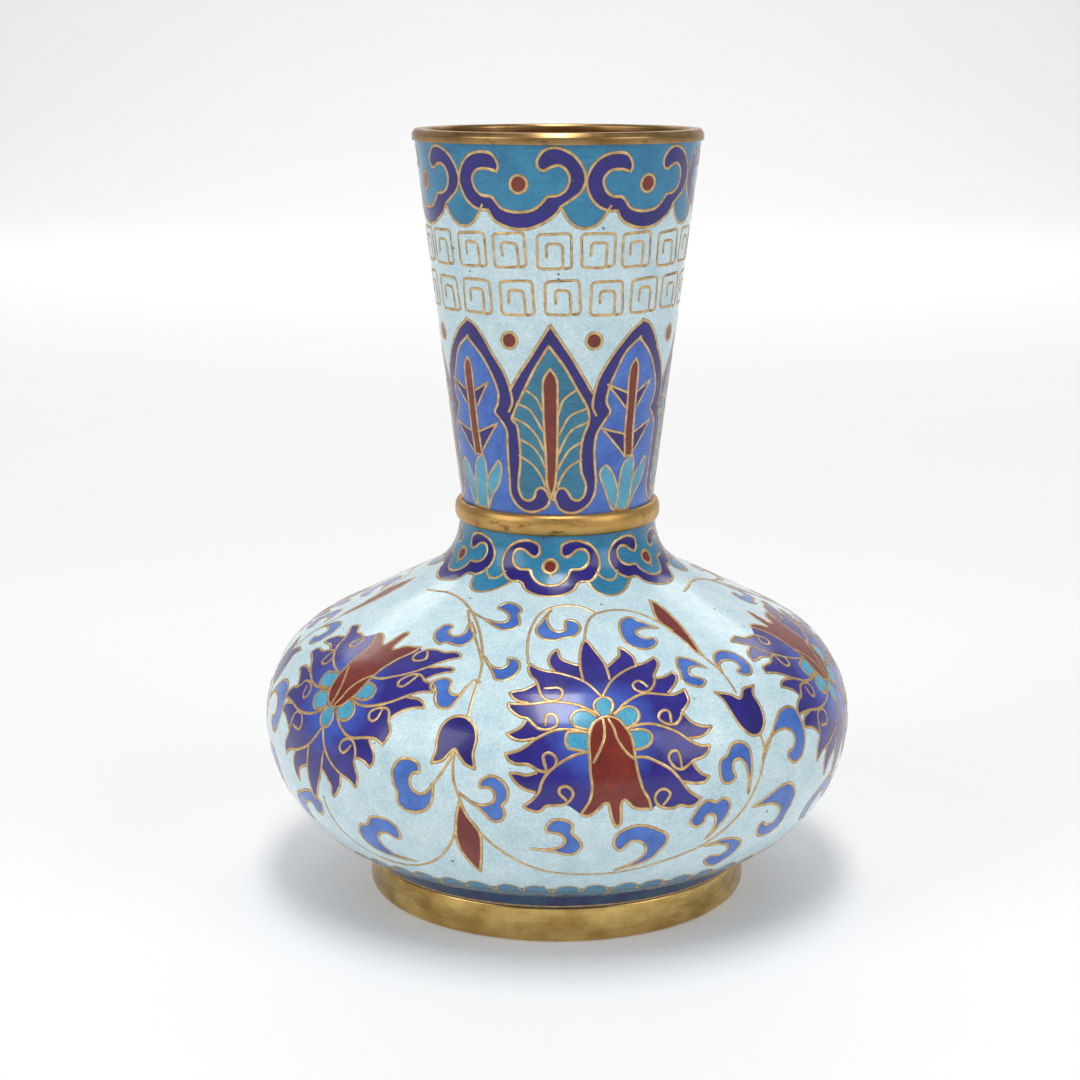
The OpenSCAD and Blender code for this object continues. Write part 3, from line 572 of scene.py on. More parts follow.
R_6 = [(10.5, 103.6), (12, 103.2), (13.75, 103.2), (15.25, 103.6), (16.75, 104.2), (18.25, 105),
       (19.75, 106.1), (21, 106.9), (22.25, 107.4), (23.6, 107.5, 1), (23.25, 108.4),
       (22.25, 109.1), (20.75, 109.4), (19.75, 110.1), (18.75, 110.5), (17.75, 110.2),
       (16.9, 109.2), (16.6, 108.4), (17.1, 107.7), (18, 107.7), (18.45, 108.6), (18.75, 110.1)]
R_7 = [(20.55, 109.7), (21.25, 110.7), (22.25, 111.6), (23.5, 112.2, 1), (22.75, 112.9),
       (21.25, 112.9), (19.1, 112.4)]
R_8 = [(11.4, 108.1), (13, 108.2), (14.75, 109), (16.5, 110), (17.75, 111.1), (19, 112.6),
       (20, 113.9), (21, 114.7), (22.1, 115.4, 1), (21.5, 116.1), (20.25, 116.5), (18.75, 116.1),
       (17.25, 116.4), (16, 116.2), (15, 115.6), (14.5, 114.6), (14.75, 113.7), (15.5, 113.2),
       (16.4, 113.4), (16.95, 114), (16.55, 114.9), (15.9, 115.6)]
# how much of each petal line is the outside edge of the flower: first and last point
OUTSIDE = [(L_TOP, 1, 11), (R_1, 0, 11), (R_2, 6, 13), (R_3, 0, 8), (R_4, 7, 14), (R_5, 0, 8),
           (R_6, 7, 13), (R_7, 0, 7), (R_8, 6, 15)]
OUTSIDE_LEFT = [(L_LEFT8, 7, 15), (L_LEFT7, 0, 8), (L_LEFT6, 6, 14), (L_LEFT5, 0, 8),
                (L_LEFT4, 7, 14), (L_LEFT3, 0, 8), (L_LEFT2, 6, 14), (L_LEFT1, 0, 12)]
PETAL_LINES = [L_TOP, L_LEFT1, L_LEFT2, L_LEFT3, L_LEFT4, L_LEFT5, L_LEFT6, L_LEFT7, L_LEFT8,
               R_1, R_2, R_3, R_4, R_5, R_6, R_7, R_8]
LOBES = [[(5.8, 101.4), (5, 100), (5.25, 98.9), (6.4, 98.2), (7.6, 98.7), (7.95, 100), (7.5, 101.2)],
         [(5.25, 101.5), (4.25, 100.7), (3, 100.4), (2, 100.9), (1.5, 101.9), (1.9, 102.9),
          (2.9, 103.4), (4.2, 103.7)],
         [(4.2, 104.1), (2.5, 104), (1.1, 104.1), (0.75, 105.2), (1.1, 106.4), (2.25, 106.7),
          (4, 107.1)],
         [(8.1, 101.2), (9.25, 100.4), (10.5, 100.1), (11.6, 100.7), (12, 101.7), (11.6, 102.7),
          (10.2, 103.6)],
         [(10.7, 104), (12.5, 104), (13.6, 104.5), (14, 105.4), (13.5, 106.4), (12.4, 106.9),
          (11.1, 107)]]
BELL = [(7.25, 101.6), (6, 101.9), (5, 102.6), (4.4, 104), (4.25, 106), (4.4, 108), (4.5, 110),
        (4.8, 112), (4.75, 113.2), (4.4, 114.5), (3.75, 115.6), (3.2, 116.5, 1), (4, 116.8),
        (5, 116.4), (6, 115.5), (6.6, 114.9), (7.25, 114.8), (7.5, 115.6), (7.8, 117),
        (8.25, 118.2), (8.7, 118.9, 1), (9.2, 118.2), (9.25, 116.5), (9.25, 115), (9.75, 114.4),
        (10.4, 114.9), (11, 115.6), (12, 116), (13.25, 116.1), (14, 116.2, 1), (13.5, 114.5),
        (12.6, 113), (12, 111.2), (11.55, 109.5), (11.25, 107.7), (10.95, 106), (10.5, 104.5),
        (9.75, 103.4), (8.75, 102.2)]
BELL_LINES = [[(6.4, 102.1), (6.6, 103.5), (6.5, 105.2), (6, 106.6), (5, 108.6)],
              [(7.25, 102.1), (8, 103.5), (8.5, 105.1), (9.4, 106.6), (10.25, 107.6),
               (11.25, 108.4)]]
# the middle of the flower; a standing flower is mirrored about half of FLIP, moved and turned on
HUB = (6.8, 104.0)
FLIP, FLIP_SHIFT, FLIP_TURN = 206.5, -7.8, -48


def placed(line, flip, shift=0.0):
    """The line as it stands in a hanging flower, or upside down for a standing one."""
    return [(p[0] + shift, FLIP - p[1] if flip else p[1]) + tuple(p[2:]) for p in line]


def flower(board, turn, flip):
    """One lotus: dark petals, turquoise lobes round the hub, and the red bell over them."""
    board.metal = "lotus_wire"
    shift = FLIP_SHIFT if flip else 0.0
    move = loose((HUB[0] + shift, 103), 1.5)
    outside = [p for line, a, b in OUTSIDE for p in line[a:b]]
    outside += [(14, 116.2, 1), (9, 114.5), (3.2, 116.5, 1)]
    outside += [p for line, a, b in OUTSIDE_LEFT for p in line[a:b][::-1]]
    board.cell(placed(outside, flip, shift), "petals", 2, turn, move)
    for line in PETAL_LINES:
        board.wire(placed(line, flip, shift), turn, move=move)
    for lobe in LOBES:
        board.cell(placed(lobe, flip, shift), "lobes", 3, turn, move)
        board.wire(placed(lobe, flip, shift), turn, move=move)
    board.fenced(placed(BELL, flip, shift), "bells", 4, turn, move)
    for line in BELL_LINES:
        board.wire(placed(line, flip, shift), turn, move=move, half=STEM_WIRE)


# ---- buds, leaves and stems ------------------------------------------------------------

REPEATS = 3
BUD_DOWN = [(-14.5, 102.4), (-12.9, 103.8), (-12.6, 105.8), (-13.1, 108), (-12.8, 110.2, 1),
            (-14.2, 109.7), (-15.3, 108.5), (-16, 107.5), (-16.7, 108), (-18, 109.4),
            (-19.8, 110, 1), (-19.1, 108), (-18.8, 105.8), (-18, 104), (-16.5, 102.7)]
BLADE_DOWN = [(-15.3, 115.5, 1), (-14.2, 117.5), (-12.2, 120.3), (-11.9, 124), (-12.2, 129, 1),
              (-14, 126.5), (-15.6, 123), (-15.9, 120.5), (-15.7, 117.5)]
BUD_UP = [(-11, 99.8, 1), (-10, 100.1), (-8.6, 100.6), (-7.3, 101.7), (-6.5, 101.2), (-5.5, 100.3),
          (-3, 100.2, 1), (-4.2, 101.5), (-4.2, 104), (-4.8, 106.3), (-6.3, 107.7), (-8, 107.8),
          (-9.6, 106.2), (-10.3, 103.5), (-10.4, 101.3)]
BLADE_UP = [(15.8, 77.8, 1), (17.5, 79.3), (19.5, 82), (21.5, 85.5), (23, 89), (24.3, 92.3, 1),
            (23, 91), (21, 88), (18.5, 85), (16.5, 82), (16, 79)]
# curled leaves and scroll stems, by the angle in degrees that their x is counted from
LEAVES = {
    0: [
        [(-12, 81.5, 1), (-9.3, 82), (-8, 81.3), (-7.8, 80.2), (-8.6, 79.1), (-9.7, 78.6),
         (-8.7, 77.3), (-7.5, 77), (-6.2, 77.8), (-5.8, 79), (-6.3, 79.8), (-6, 81), (-6.2, 82.3),
         (-7.5, 83.3), (-9, 83.5), (-10.3, 82.8)],
        [(-1, 78.3, 1), (-1.8, 80), (-1.6, 82), (-1, 83.2), (0, 83.7), (1, 83.2), (1.1, 81.8),
         (1.3, 81), (2.3, 81), (3.2, 82), (3.3, 83.5), (2.3, 84.8), (1, 85), (-0.5, 85.6),
         (-2.2, 85.4), (-3.3, 84.4), (-3.5, 83), (-2.8, 81.5)],
        [(16.5, 84.2, 1), (13.5, 83.8), (12.3, 84.3), (12.8, 85.4), (14, 86.2), (15.6, 86.5),
         (15.8, 87.5), (14.5, 88.5), (12.5, 88.3), (10.8, 87), (10, 85.5), (9.6, 83.6),
         (9.7, 81.8), (10.4, 81), (11.8, 81), (13, 82), (15, 83.3)],
        [(-14.5, 82.5, 1), (-13.6, 85), (-14.3, 86.8), (-16, 88.2), (-17.5, 88.1), (-18.6, 87.9),
         (-19.8, 88.5), (-21, 87.5), (-20.8, 85.8), (-19.5, 84.3), (-18.2, 83.9), (-17.8, 84.4),
         (-18.4, 85.5), (-17.8, 86.3), (-16.3, 86), (-15.2, 84.8), (-14.8, 83.2)],
        [(-11.9, 90, 1), (-10.8, 92), (-9.5, 92.6), (-8.5, 92.2), (-7.9, 91.2), (-8, 90.2),
         (-7.2, 90.1), (-6.3, 91), (-6.2, 92.5), (-7.2, 94.2), (-8.8, 95.2), (-10, 95),
         (-10.4, 93.6)],
        [(-14, 96.8, 1), (-15.5, 98.8), (-16.8, 98.7), (-17.1, 97.8), (-16.8, 96.5), (-17.8, 95.8),
         (-19, 96.2), (-20.2, 97), (-20.3, 98.3), (-19.3, 98.8), (-19.5, 99.9), (-18.8, 101.3),
         (-17.3, 101.4), (-16.2, 100.4)],
        [(24.5, 95, 1), (22.5, 93), (20.8, 92), (19.4, 91.7), (19.1, 93), (19.6, 95.2),
         (19.8, 96.8), (21.5, 98), (23.2, 98.4), (23.9, 97.5), (23.2, 96.9), (21.6, 96),
         (21.1, 94.8), (21.8, 94.1), (23.5, 94.5)],
        [(-19.5, 113, 1), (-20.5, 114.5), (-21.8, 115.2), (-23.3, 114.5), (-23.6, 113),
         (-22.9, 112), (-22, 111.8), (-22.1, 110.6), (-23.5, 110), (-25.5, 110.4), (-26.8, 112.5),
         (-26.4, 114.5), (-25.9, 115.5), (-25.8, 117.3), (-24, 118.4), (-21.5, 118), (-20, 116.5)],
        [(-15.5, 114, 1), (-13.5, 115.3), (-11.5, 115.6), (-10.2, 115), (-9.9, 113.7),
         (-10.8, 112.8), (-12.2, 112.8), (-12, 111.8), (-10.5, 111), (-9, 111.5), (-7.9, 113),
         (-8.2, 114.7), (-8.8, 115.5), (-8.4, 116.8), (-9, 118), (-10.3, 118.1), (-12, 116.5)],
        [(-4.5, 122.8, 1), (-2, 122.9), (0, 122.5), (0.8, 121.5), (0.6, 120.5), (-0.5, 119.8),
         (-1.9, 119.6), (-2, 118.8), (-1, 117.6), (0.6, 117.6), (1.9, 118.4), (1.8, 119.8),
         (2.8, 121), (3.3, 122.3), (2.5, 123.6), (1.2, 124), (-0.5, 123.4)],
        [(8.5, 128, 1), (12, 126), (13.2, 124.5), (13.2, 122.8), (12, 121.8), (10.8, 121.9),
         (10, 122.8), (9.3, 123.5), (8.4, 122.5), (8.5, 120.8), (10, 119.5), (12, 119),
         (13.8, 119.4), (15.3, 120.2), (16.5, 121), (16.7, 122.3), (15.5, 124.3), (14, 126)],
    ],
    48: [
        [(-6.6, 96.6, 1), (-5.8, 95), (-4.2, 94.2), (-2.7, 94.6), (-2.3, 95.8), (-2.7, 96.6),
         (-3.8, 97), (-3.3, 97.9), (-1.8, 98.1), (-0.5, 97), (-0.1, 95), (-0.6, 93.3), (-2, 92.2),
         (-3.7, 92.2), (-5.4, 93.6)],
        [(-7, 112, 1), (-5.5, 109.5), (-3, 108.3), (-0.8, 108.2), (0.8, 109), (1.2, 110.3),
         (0.4, 111.5), (-1, 112), (-0.8, 113), (0.8, 113.9), (2.8, 113), (3.9, 110.8), (3.9, 108),
         (3.2, 106), (1.6, 105.2), (-0.5, 105.5), (-2.6, 107)],
        [(-9.9, 117, 1), (-10, 114), (-10.5, 112), (-11.5, 110.9), (-12.8, 111.3), (-12.9, 112.6),
         (-12.5, 113.5), (-13.5, 114.3), (-14.8, 114), (-15.4, 112.5), (-15, 110.7),
         (-13.7, 110), (-12.5, 108.6), (-11, 108.4), (-9.5, 109.3), (-9.2, 111)],
        [(-16.5, 123.5, 1), (-15.6, 121.5), (-15.7, 119.8), (-16.5, 118.8), (-17.6, 119),
         (-17.8, 120), (-18.7, 120.7), (-20.2, 119.8), (-19.8, 118), (-18.5, 116.5),
         (-17.3, 116.4), (-16.2, 116.9), (-15, 116.4), (-13.8, 117), (-13.4, 118.5),
         (-13.8, 119.8), (-15, 121.6)],
        [(-8.5, 119.3, 1), (-6, 119.5), (-3.5, 120), (-1.8, 121.2), (-1.4, 122.5), (-2, 123.9),
         (-3.5, 124.1), (-5.3, 123.1), (-5.6, 124.5), (-4.5, 126), (-2.3, 126.6), (0, 125.5),
         (0.6, 124.2), (1, 122.5), (1.8, 120.3), (1.2, 118.5), (-0.3, 117.3), (-2.5, 117.2),
         (-4.8, 118)],
        [(-16, 125, 1), (-13, 125.3), (-11, 126), (-10.3, 127.3), (-11.2, 128.3), (-13.3, 127.9),
         (-13.8, 128.7), (-12.5, 130.3), (-10.3, 131.3), (-9, 130), (-8, 128.5), (-8, 126.5),
         (-9.2, 125.3), (-12, 124.4)],
    ],
    -48: [
        [(14.5, 129, 1), (10.2, 128), (9.2, 126.5), (9.2, 124.8), (10.3, 123.7), (11.8, 123.5),
         (13, 124.3), (14, 123.8), (14.2, 122.2), (13, 120.9), (10.8, 120.6), (9, 121.2),
         (8, 122.6), (6.5, 123), (5.3, 124.5), (5.2, 126.5), (6.3, 128), (9, 129)],
        [(-9, 127.5, 1), (-9.3, 126), (-9, 124), (-7.5, 122.8), (-6, 123), (-5.3, 124.3),
         (-4.3, 124.4), (-2.9, 123), (-3.2, 121.3), (-4.8, 120.3), (-7, 120.6), (-9.5, 121.8),
         (-11.5, 122.8), (-12.3, 125), (-11.2, 127)],
    ],
}
STEMS = {
    0: [
        [(4, 85.7), (4.2, 83.5), (4.6, 81.5), (5.5, 79.9), (7.5, 79.1), (9.5, 79), (12, 79.7),
         (14.5, 81.2), (17, 83.3), (19.3, 85.5)],
        [(-4.7, 91.1), (-4.9, 88), (-4.7, 85), (-4, 81.8), (-2.8, 79.3), (-1, 77.8), (1, 77.3),
         (3.2, 77.5), (5, 78.6), (6, 79.5)],
        [(-14, 102.3), (-13.3, 99), (-12.4, 95), (-12, 91), (-12.3, 87), (-13.2, 83),
         (-14.8, 79.8), (-17, 77.8), (-20, 77.1), (-23, 77.5), (-26, 78)],
        [(-12.1, 91), (-13.3, 86.5), (-14.6, 83), (-15.2, 80)],
        [(-12.2, 96), (-13, 95.5), (-14.2, 97)],
        [(-12, 81.5), (-13.2, 80.9), (-14.4, 80.2)],
        [(-16, 107.6), (-16.3, 110), (-16.1, 112.5), (-15.2, 115), (-14.4, 117), (-12.2, 120.2),
         (-9.5, 123), (-6, 125.7), (-2.5, 127.7), (2, 128.7), (7, 128.9), (12, 128.2),
         (17, 126.8), (22, 125.2)],
        [(-16, 107.6), (-17, 109.5), (-18.3, 111.5), (-19.5, 113.2)],
        [(-15.8, 120), (-17, 123.5), (-19, 126.8), (-21.5, 129.2), (-24, 130.5), (-27, 131),
         (-30, 130.5)],
        [(24.3, 92.3), (27, 96), (28.5, 98.5), (29.5, 100.5)],
    ],
    48: [[(-6.5, 108), (-6.3, 110), (-7, 112.5), (-8.5, 116), (-10.3, 119), (-13.5, 122.5),
          (-16.8, 125)]],
    -48: [[(11, 131), (7, 131), (3, 129), (0, 126), (-1.2, 123), (-1.5, 120)]],
}


def scroll(board):
    """The scroll, which repeats three times round the belly."""
    for k in range(REPEATS):
        turn = (k - 1) * 360.0 / REPEATS
        flower(board, turn, False)
        flower(board, turn + FLIP_TURN, True)
        board.metal = "leaf_wire"
        for start, leaves in LEAVES.items():
            for leaf in leaves:
                middle = tuple(np.mean([p[:2] for p in leaf], axis=0))
                move = loose(middle, 1.2)
                board.fenced(leaf, "curl_leaves", 2, turn + start, move)
        for start, stems in STEMS.items():
            for stem in stems:
                board.wire(stem, turn + start, half=STEM_WIRE)
        for line, start, name in ((BUD_DOWN, 0, "buds"), (BLADE_DOWN, 0, "blades"),
                                  (BUD_UP, 48, "buds"), (BLADE_UP, 0, "blades")):
            board.fenced(line, name, 3, turn + start)


# ---- foot border -----------------------------------------------------------------------

V_PETAL, V_LOBE, V_MARK, V_COVE = 132.6, 135.6, 137, 142.2
PETALS = 28


def foot_border(board):
    """Petals with two lobes each over a dark cove, with a red mark under every other lobe."""
    band(board, "foot_petals", 1, V_PETAL + 1.2, V_COVE)
    band(board, "cove", 2, V_COVE, V_END + 1)
    width = math.radians(360 / PETALS) * wall(V_MARK)[0]
    for i in range(PETALS):
        turn = -1.5 + i * 360 / PETALS
        middle = turn + 6.4
        for side in (-0.25, 0.25):
            x = side * width
            lobe = [(x - width / 4.2, V_LOBE, 1), (x - width / 6, V_PETAL + 0.7), (x, V_PETAL),
                    (x + width / 6, V_PETAL + 0.7), (x + width / 4.2, V_LOBE, 1)]
            board.cell(lobe, "foot_petals", 3, middle)
            board.wire(lobe, middle, half=THIN_WIRE)
            mark = [(x, V_MARK, 1), (x + 0.5, 138.8), (x, 140.8, 1), (x - 0.5, 138.8)]
            if i % 2 == (side > 0):
                board.cell(mark, "foot_marks", 4, middle)
        board.wire([(0, 134), (0.1, 138), (0, V_COVE)], turn, half=0.17)
    for v in (V_COVE, V_END - 0.35):
        board.strip(np.array([(t, v) for t in np.linspace(-181, 181, 300)]), FINE_WIRE)


# ---- meshes ----------------------------------------------------------------------------

def mesh_of(name, verts, loops, sizes, normals=None):
    """An object made from places, the corners of its faces and the size of each face."""
    mesh = bpy.data.meshes.new(name)
    mesh.vertices.add(len(verts))
    mesh.vertices.foreach_set("co", (np.asarray(verts) * MM).ravel())
    mesh.loops.add(len(loops))
    mesh.loops.foreach_set("vertex_index", loops)
    mesh.polygons.add(len(sizes))
    mesh.polygons.foreach_set("loop_start", np.concatenate([[0], np.cumsum(sizes)[:-1]]))
    mesh.polygons.foreach_set("loop_total", sizes)
    mesh.update(calc_edges=True)
    mesh.polygons.foreach_set("use_smooth", np.ones(len(sizes), bool))
    if normals is not None:
        mesh.normals_split_custom_set(normals.tolist())
    ob = bpy.data.objects.new(name, mesh)
    bpy.context.collection.objects.link(ob)
    return ob


def shell(name, sheet, tris, middles, crown=0.0):
    """A closed piece of the enamel layer, with the wall's own normals on its face. A wire has
    a crown: it stands proud in its middle and its normals lean out to its edges."""
    used, local = np.unique(tris, return_inverse=True)
    tri, n = local.reshape(-1, 3), len(used)
    place, normal = surface(sheet[used, 0], sheet[used, 1])
    face_n, away = normal.copy(), np.zeros(n)
    if crown:
        rise = np.zeros(n)
        for i in range(n):
            mid, _, gap = middles.find(place[i])
            away[i] = min(gap / WIRE, 1.0)
            rise[i] = crown * (1 - away[i] ** 2)
            if gap > 0.02:
                face_n[i] += 0.55 * away[i] * (place[i] - np.array(mid)) / gap
        face_n /= np.linalg.norm(face_n, axis=1)[:, None]
        top = place + normal * rise[:, None]
    else:
        top = place
    bottom = place - normal * ENAMEL
    edge = np.concatenate([tri[:, [0, 1]], tri[:, [1, 2]], tri[:, [2, 0]]]).astype(np.int64)
    lone = edge[~np.isin(edge[:, 0] * n + edge[:, 1], edge[:, 1] * n + edge[:, 0])]
    a, b = lone[:, 0], lone[:, 1]
    side = np.stack([a, a + n, b + n, b], -1)
    across = np.cross(bottom[a] - top[a], top[b] - top[a])
    across /= np.linalg.norm(across, axis=1)[:, None] + 1e-12
    loops = np.concatenate([tri.ravel(), (tri[:, ::-1] + n).ravel(), side.ravel()])
    sizes = np.concatenate([np.full(2 * len(tri), 3), np.full(len(side), 4)])
    normals = np.concatenate([face_n[tri.ravel()], -normal[tri[:, ::-1].ravel()],
                              np.repeat(across, 4, axis=0)])
    ob = mesh_of(name, np.vstack([top, bottom]), loops, sizes, normals)
    return ob, np.concatenate([away, away]), sheet[used]


def lathe(name, outline, sides=256, sharp=28):
    """A closed ring turned from a closed outline of (radius, height)."""
    p = np.array(outline, float)
    m = len(p)
    a = np.arange(sides) / sides * 2 * math.pi
    verts = np.stack([np.outer(np.sin(a), p[:, 0]), -np.outer(np.cos(a), p[:, 0]),
                      np.outer(np.ones(sides), p[:, 1])], -1).reshape(-1, 3)
    i, j = np.meshgrid(np.arange(sides), np.arange(m), indexing="ij")
    i2, j2 = (i + 1) % sides, (j + 1) % m
    quads = np.stack([i * m + j, i * m + j2, i2 * m + j2, i2 * m + j], -1).reshape(-1)
    ob = mesh_of(name, verts, quads, np.full(sides * m, 4))
    ob.data.set_sharp_from_angle(angle=math.radians(sharp))
    return ob


# ---- materials -------------------------------------------------------------------------

class Nodes:
    """Short ways to add shader nodes and join them."""

    def __init__(self, name):
        self.mat = bpy.data.materials.new(name)
        self.mat.use_nodes = True
        self.tree = self.mat.node_tree
        self.shader = self.tree.nodes["Principled BSDF"]

    def add(self, kind, sockets=None, **settings):
        node = self.tree.nodes.new("ShaderNode" + kind)
        for key, value in settings.items():
            setattr(node, key, value)
        for key, value in (sockets or {}).items():
            self.join(value, node.inputs[key])
        return node

    def join(self, value, socket):
        if isinstance(value, bpy.types.NodeSocket):
            self.tree.links.new(value, socket)
        else:
            socket.default_value = value

    def set(self, **sockets):
        for key, value in sockets.items():
            self.join(value, self.shader.inputs[key.replace("_", " ")])

    def place(self, scale):
        coord = self.add("TexCoord").outputs["Object"]
        return self.add("Mapping", {"Vector": coord, "Scale": scale}).outputs[0]

    def noise(self, scale, detail=3.0, rough=0.55):
        node = self.add("TexNoise", {"Vector": self.place(scale), "Scale": 1.0, "Detail": detail,
                                     "Roughness": rough})
        return node.outputs["Fac"]

    def range(self, value, low, high, to_low=0.0, to_high=1.0):
        return self.add("MapRange", {"Value": value, "From Min": low, "From Max": high,
                                     "To Min": to_low, "To Max": to_high}).outputs[0]

    def blend(self, fac, a, b, how="MIX"):
        node = self.add("Mix", data_type="RGBA", blend_type=how)
        self.join(fac, node.inputs[0])
        self.join(a, node.inputs[6])
        self.join(b, node.inputs[7])
        return node.outputs[2]

    def math(self, how, a, b=0.0):
        return self.add("Math", {0: a, 1: b}, operation=how).outputs[0]

    def bump(self, height, strength, distance):
        return self.add("Bump", {"Height": height, "Strength": strength,
                                 "Distance": distance}).outputs[0]


def rgb(r, g, b):
    """A linear colour from 0-255 values as seen on a screen."""
    def lin(c):
        c /= 255
        return c / 12.92 if c <= 0.04045 else ((c + 0.055) / 1.055) ** 2.4
    return (lin(r), lin(g), lin(b), 1.0)


def enamel(name, base, shade, pale=None, tint=None, rough=0.2):
    """Polished enamel: cloudy colour, fine grain, pinholes and polishing lines round the vase. Where
    a pale colour is given, it is painted in streaks round the vase as sheen.
    """
    m = Nodes(name)
    cloud = m.range(m.noise((260, 260, 260), 4.0), 0.35, 0.68)
    colour = m.blend(cloud, base, shade)
    grain = m.range(m.noise((2600, 2600, 2600), 2.0), 0.3, 0.7, 0.86, 1.1)
    if tint:
        near = m.add("Attribute", attribute_name="near").outputs["Fac"]
        patchy = m.math("ADD", near, m.range(m.noise((500, 500, 500), 3.0), 0, 1, -0.22, 0.22))
        colour = m.blend(m.range(patchy, 0.25, 0.75), colour, tint)
    # painted sheen: lighter streaks round the vase, mixed into the colour, stand in for light caught
    # on the polished enamel
    if pale:
        sheen_streaks = m.range(m.noise((420, 420, 2300), 3.0), 0.55, 0.8, 0, 0.5)
        colour = m.blend(sheen_streaks, colour, pale)
    colour = m.blend(1.0, colour, m.add("CombineColor", {0: grain, 1: grain, 2: grain}).outputs[0],
                     "MULTIPLY")
    holes = m.add("TexVoronoi", {"Vector": m.place((430, 430, 430)), "Scale": 1.0})
    some = m.add("SeparateColor", {0: holes.outputs["Color"]}).outputs[0]
    size = m.range(some, 0.72, 1.0, 0.0, 0.13)
    pit = m.math("LESS_THAN", holes.outputs["Distance"], size)
    colour = m.blend(m.math("MULTIPLY", pit, 0.75), colour, rgb(70, 66, 70))
    lines = m.noise((60, 60, 5200), 2.0)
    waves = m.noise((190, 190, 190), 2.0)
    height = m.math("ADD", m.math("MULTIPLY", lines, 0.35), waves)
    height = m.math("SUBTRACT", height, m.math("MULTIPLY", pit, 0.5))
    m.set(Base_Color=colour, Roughness=m.range(grain, 0.86, 1.1, rough + 0.06, rough - 0.02),
          Normal=m.bump(height, 0.25, 0.00012))
    m.shader.inputs["IOR"].default_value = 1.42
    m.shader.inputs["Coat Weight"].default_value = 0.2
    m.shader.inputs["Coat Roughness"].default_value = 0.07
    return m.mat


def wire_metal():
    m = Nodes("wire_gilt")
    edge = m.add("Attribute", attribute_name="edge").outputs["Fac"]
    spots = m.noise((900, 900, 900), 3.0)
    gold = m.blend(m.range(spots, 0.35, 0.7), rgb(222, 190, 134), rgb(184, 148, 96))
    rim = m.range(m.math("ADD", edge, m.range(spots, 0, 1, -0.2, 0.2)), 0.6, 0.92)
    m.set(Base_Color=m.blend(rim, gold, rgb(108, 78, 58)), Metallic=m.range(rim, 0, 1, 0.75, 0.1),
          Roughness=m.range(spots, 0.3, 0.7, 0.3, 0.5))
    return m.mat


def gilt_brass(name, light, dark, patch, amount, rough=0.24):
    """Gilt brass with a few tarnish patches and fine turning marks."""
    m = Nodes(name)
    marks = m.noise((70, 70, 4200), 3.0)
    cloud = m.noise((150, 150, 260), 3.0)
    spots = m.range(m.noise((260, 260, 520), 4.0, 0.65), 0.57, 0.68)
    colour = m.blend(m.range(cloud, 0.35, 0.65), light, dark)
    colour = m.blend(m.math("MULTIPLY", spots, amount), colour, patch)
    scratch = m.range(marks, 0.3, 0.7, 0.9, 1.05)
    tone = m.add("CombineColor", {0: scratch, 1: scratch, 2: scratch}).outputs[0]
    m.set(Base_Color=m.blend(1.0, colour, tone, "MULTIPLY"),
          Roughness=m.range(marks, 0.3, 0.7, rough, rough + 0.1),
          Normal=m.bump(marks, 0.25, 0.00005))
    m.shader.inputs["Metallic"].default_value = 0.95
    return m.mat


def copper(name):
    """Dull copper inside the vase, brown with oxide, marked by the spinning."""
    m = Nodes(name)
    rings = m.noise((40, 40, 1400), 3.0)
    cloud = m.noise((120, 120, 120), 4.0)
    colour = m.blend(m.range(cloud, 0.35, 0.65), rgb(150, 96, 62), rgb(92, 58, 42))
    m.set(Base_Color=colour, Roughness=m.range(rings, 0.3, 0.7, 0.42, 0.6),
          Normal=m.bump(rings, 0.4, 0.0001))
    m.shader.inputs["Metallic"].default_value = 0.8
    return m.mat


# ---- pieces ----------------------------------------------------------------------------

def own(ob, mat, slot, *nodes):
    """Gives a piece its material and body, and hides the CAD nodes it stands for. The slot is not
    used.
    """
    ob.data.materials.clear()
    ob.data.materials.append(mat)
    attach(ob, "root")
    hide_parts(*nodes)
    return ob


def flag(ob, name, values):
    """Stores a value at each vertex for a material to read."""
    attribute = ob.data.attributes.new(name, "FLOAT", "POINT")
    attribute.data.foreach_set("value", np.asarray(values, np.float32))


def near_hub(sheet):
    """How close each place is to the middle of its flower, 1 at the hub to 0 at the tips."""
    best = np.full(len(sheet), 99.0)
    standing = (HUB[0] + FLIP_SHIFT, FLIP - HUB[1] + 1)
    for k in range(-1, REPEATS):
        for middle, start in ((HUB, 0), (standing, FLIP_TURN)):
            hub = to_turn([middle], start + k * 360.0 / REPEATS)[0]
            across = np.radians(sheet[:, 0] - hub[0]) * wall(sheet[:, 1])[0]
            best = np.minimum(best, np.hypot(across, sheet[:, 1] - hub[1]))
    return np.clip((11.5 - best) / 8.0, 0, 1)


WIRE_CROWN = 0.05
# the slot for the materials that are not named after one
SLOTS = {"lotus_enamel": "cobalt_enamel", "cove_enamel": "cobalt_enamel"}


def build_board(board, looks, grid_turn, grid_v, prefix):
    """Cuts a board and makes one piece of everything drawn in the same name."""
    sheet, groups = board.cut(grid_turn, grid_v)
    middles = kdtree.KDTree(len(board.middles))
    spots = surface(np.array([m[0] for m in board.middles]), np.array([m[1] for m in board.middles]))
    for i, p in enumerate(spots[0]):
        middles.insert(p, i)
    middles.balance()
    for key, (mat, nodes) in looks.items():
        if key not in groups or not len(groups[key]):
            continue
        metal = key.endswith("wire")
        crown = WIRE_CROWN if metal else 0.0
        ob, away, flat = shell(prefix + key, sheet, groups[key], middles, crown)
        if metal:
            flag(ob, "edge", away)
        if key == "petals":
            near = near_hub(flat)
            flag(ob, "near", np.concatenate([near, near]))
        plain = mat.name.split(".")[0]
        own(ob, mat, SLOTS.get(plain, plain), *nodes)


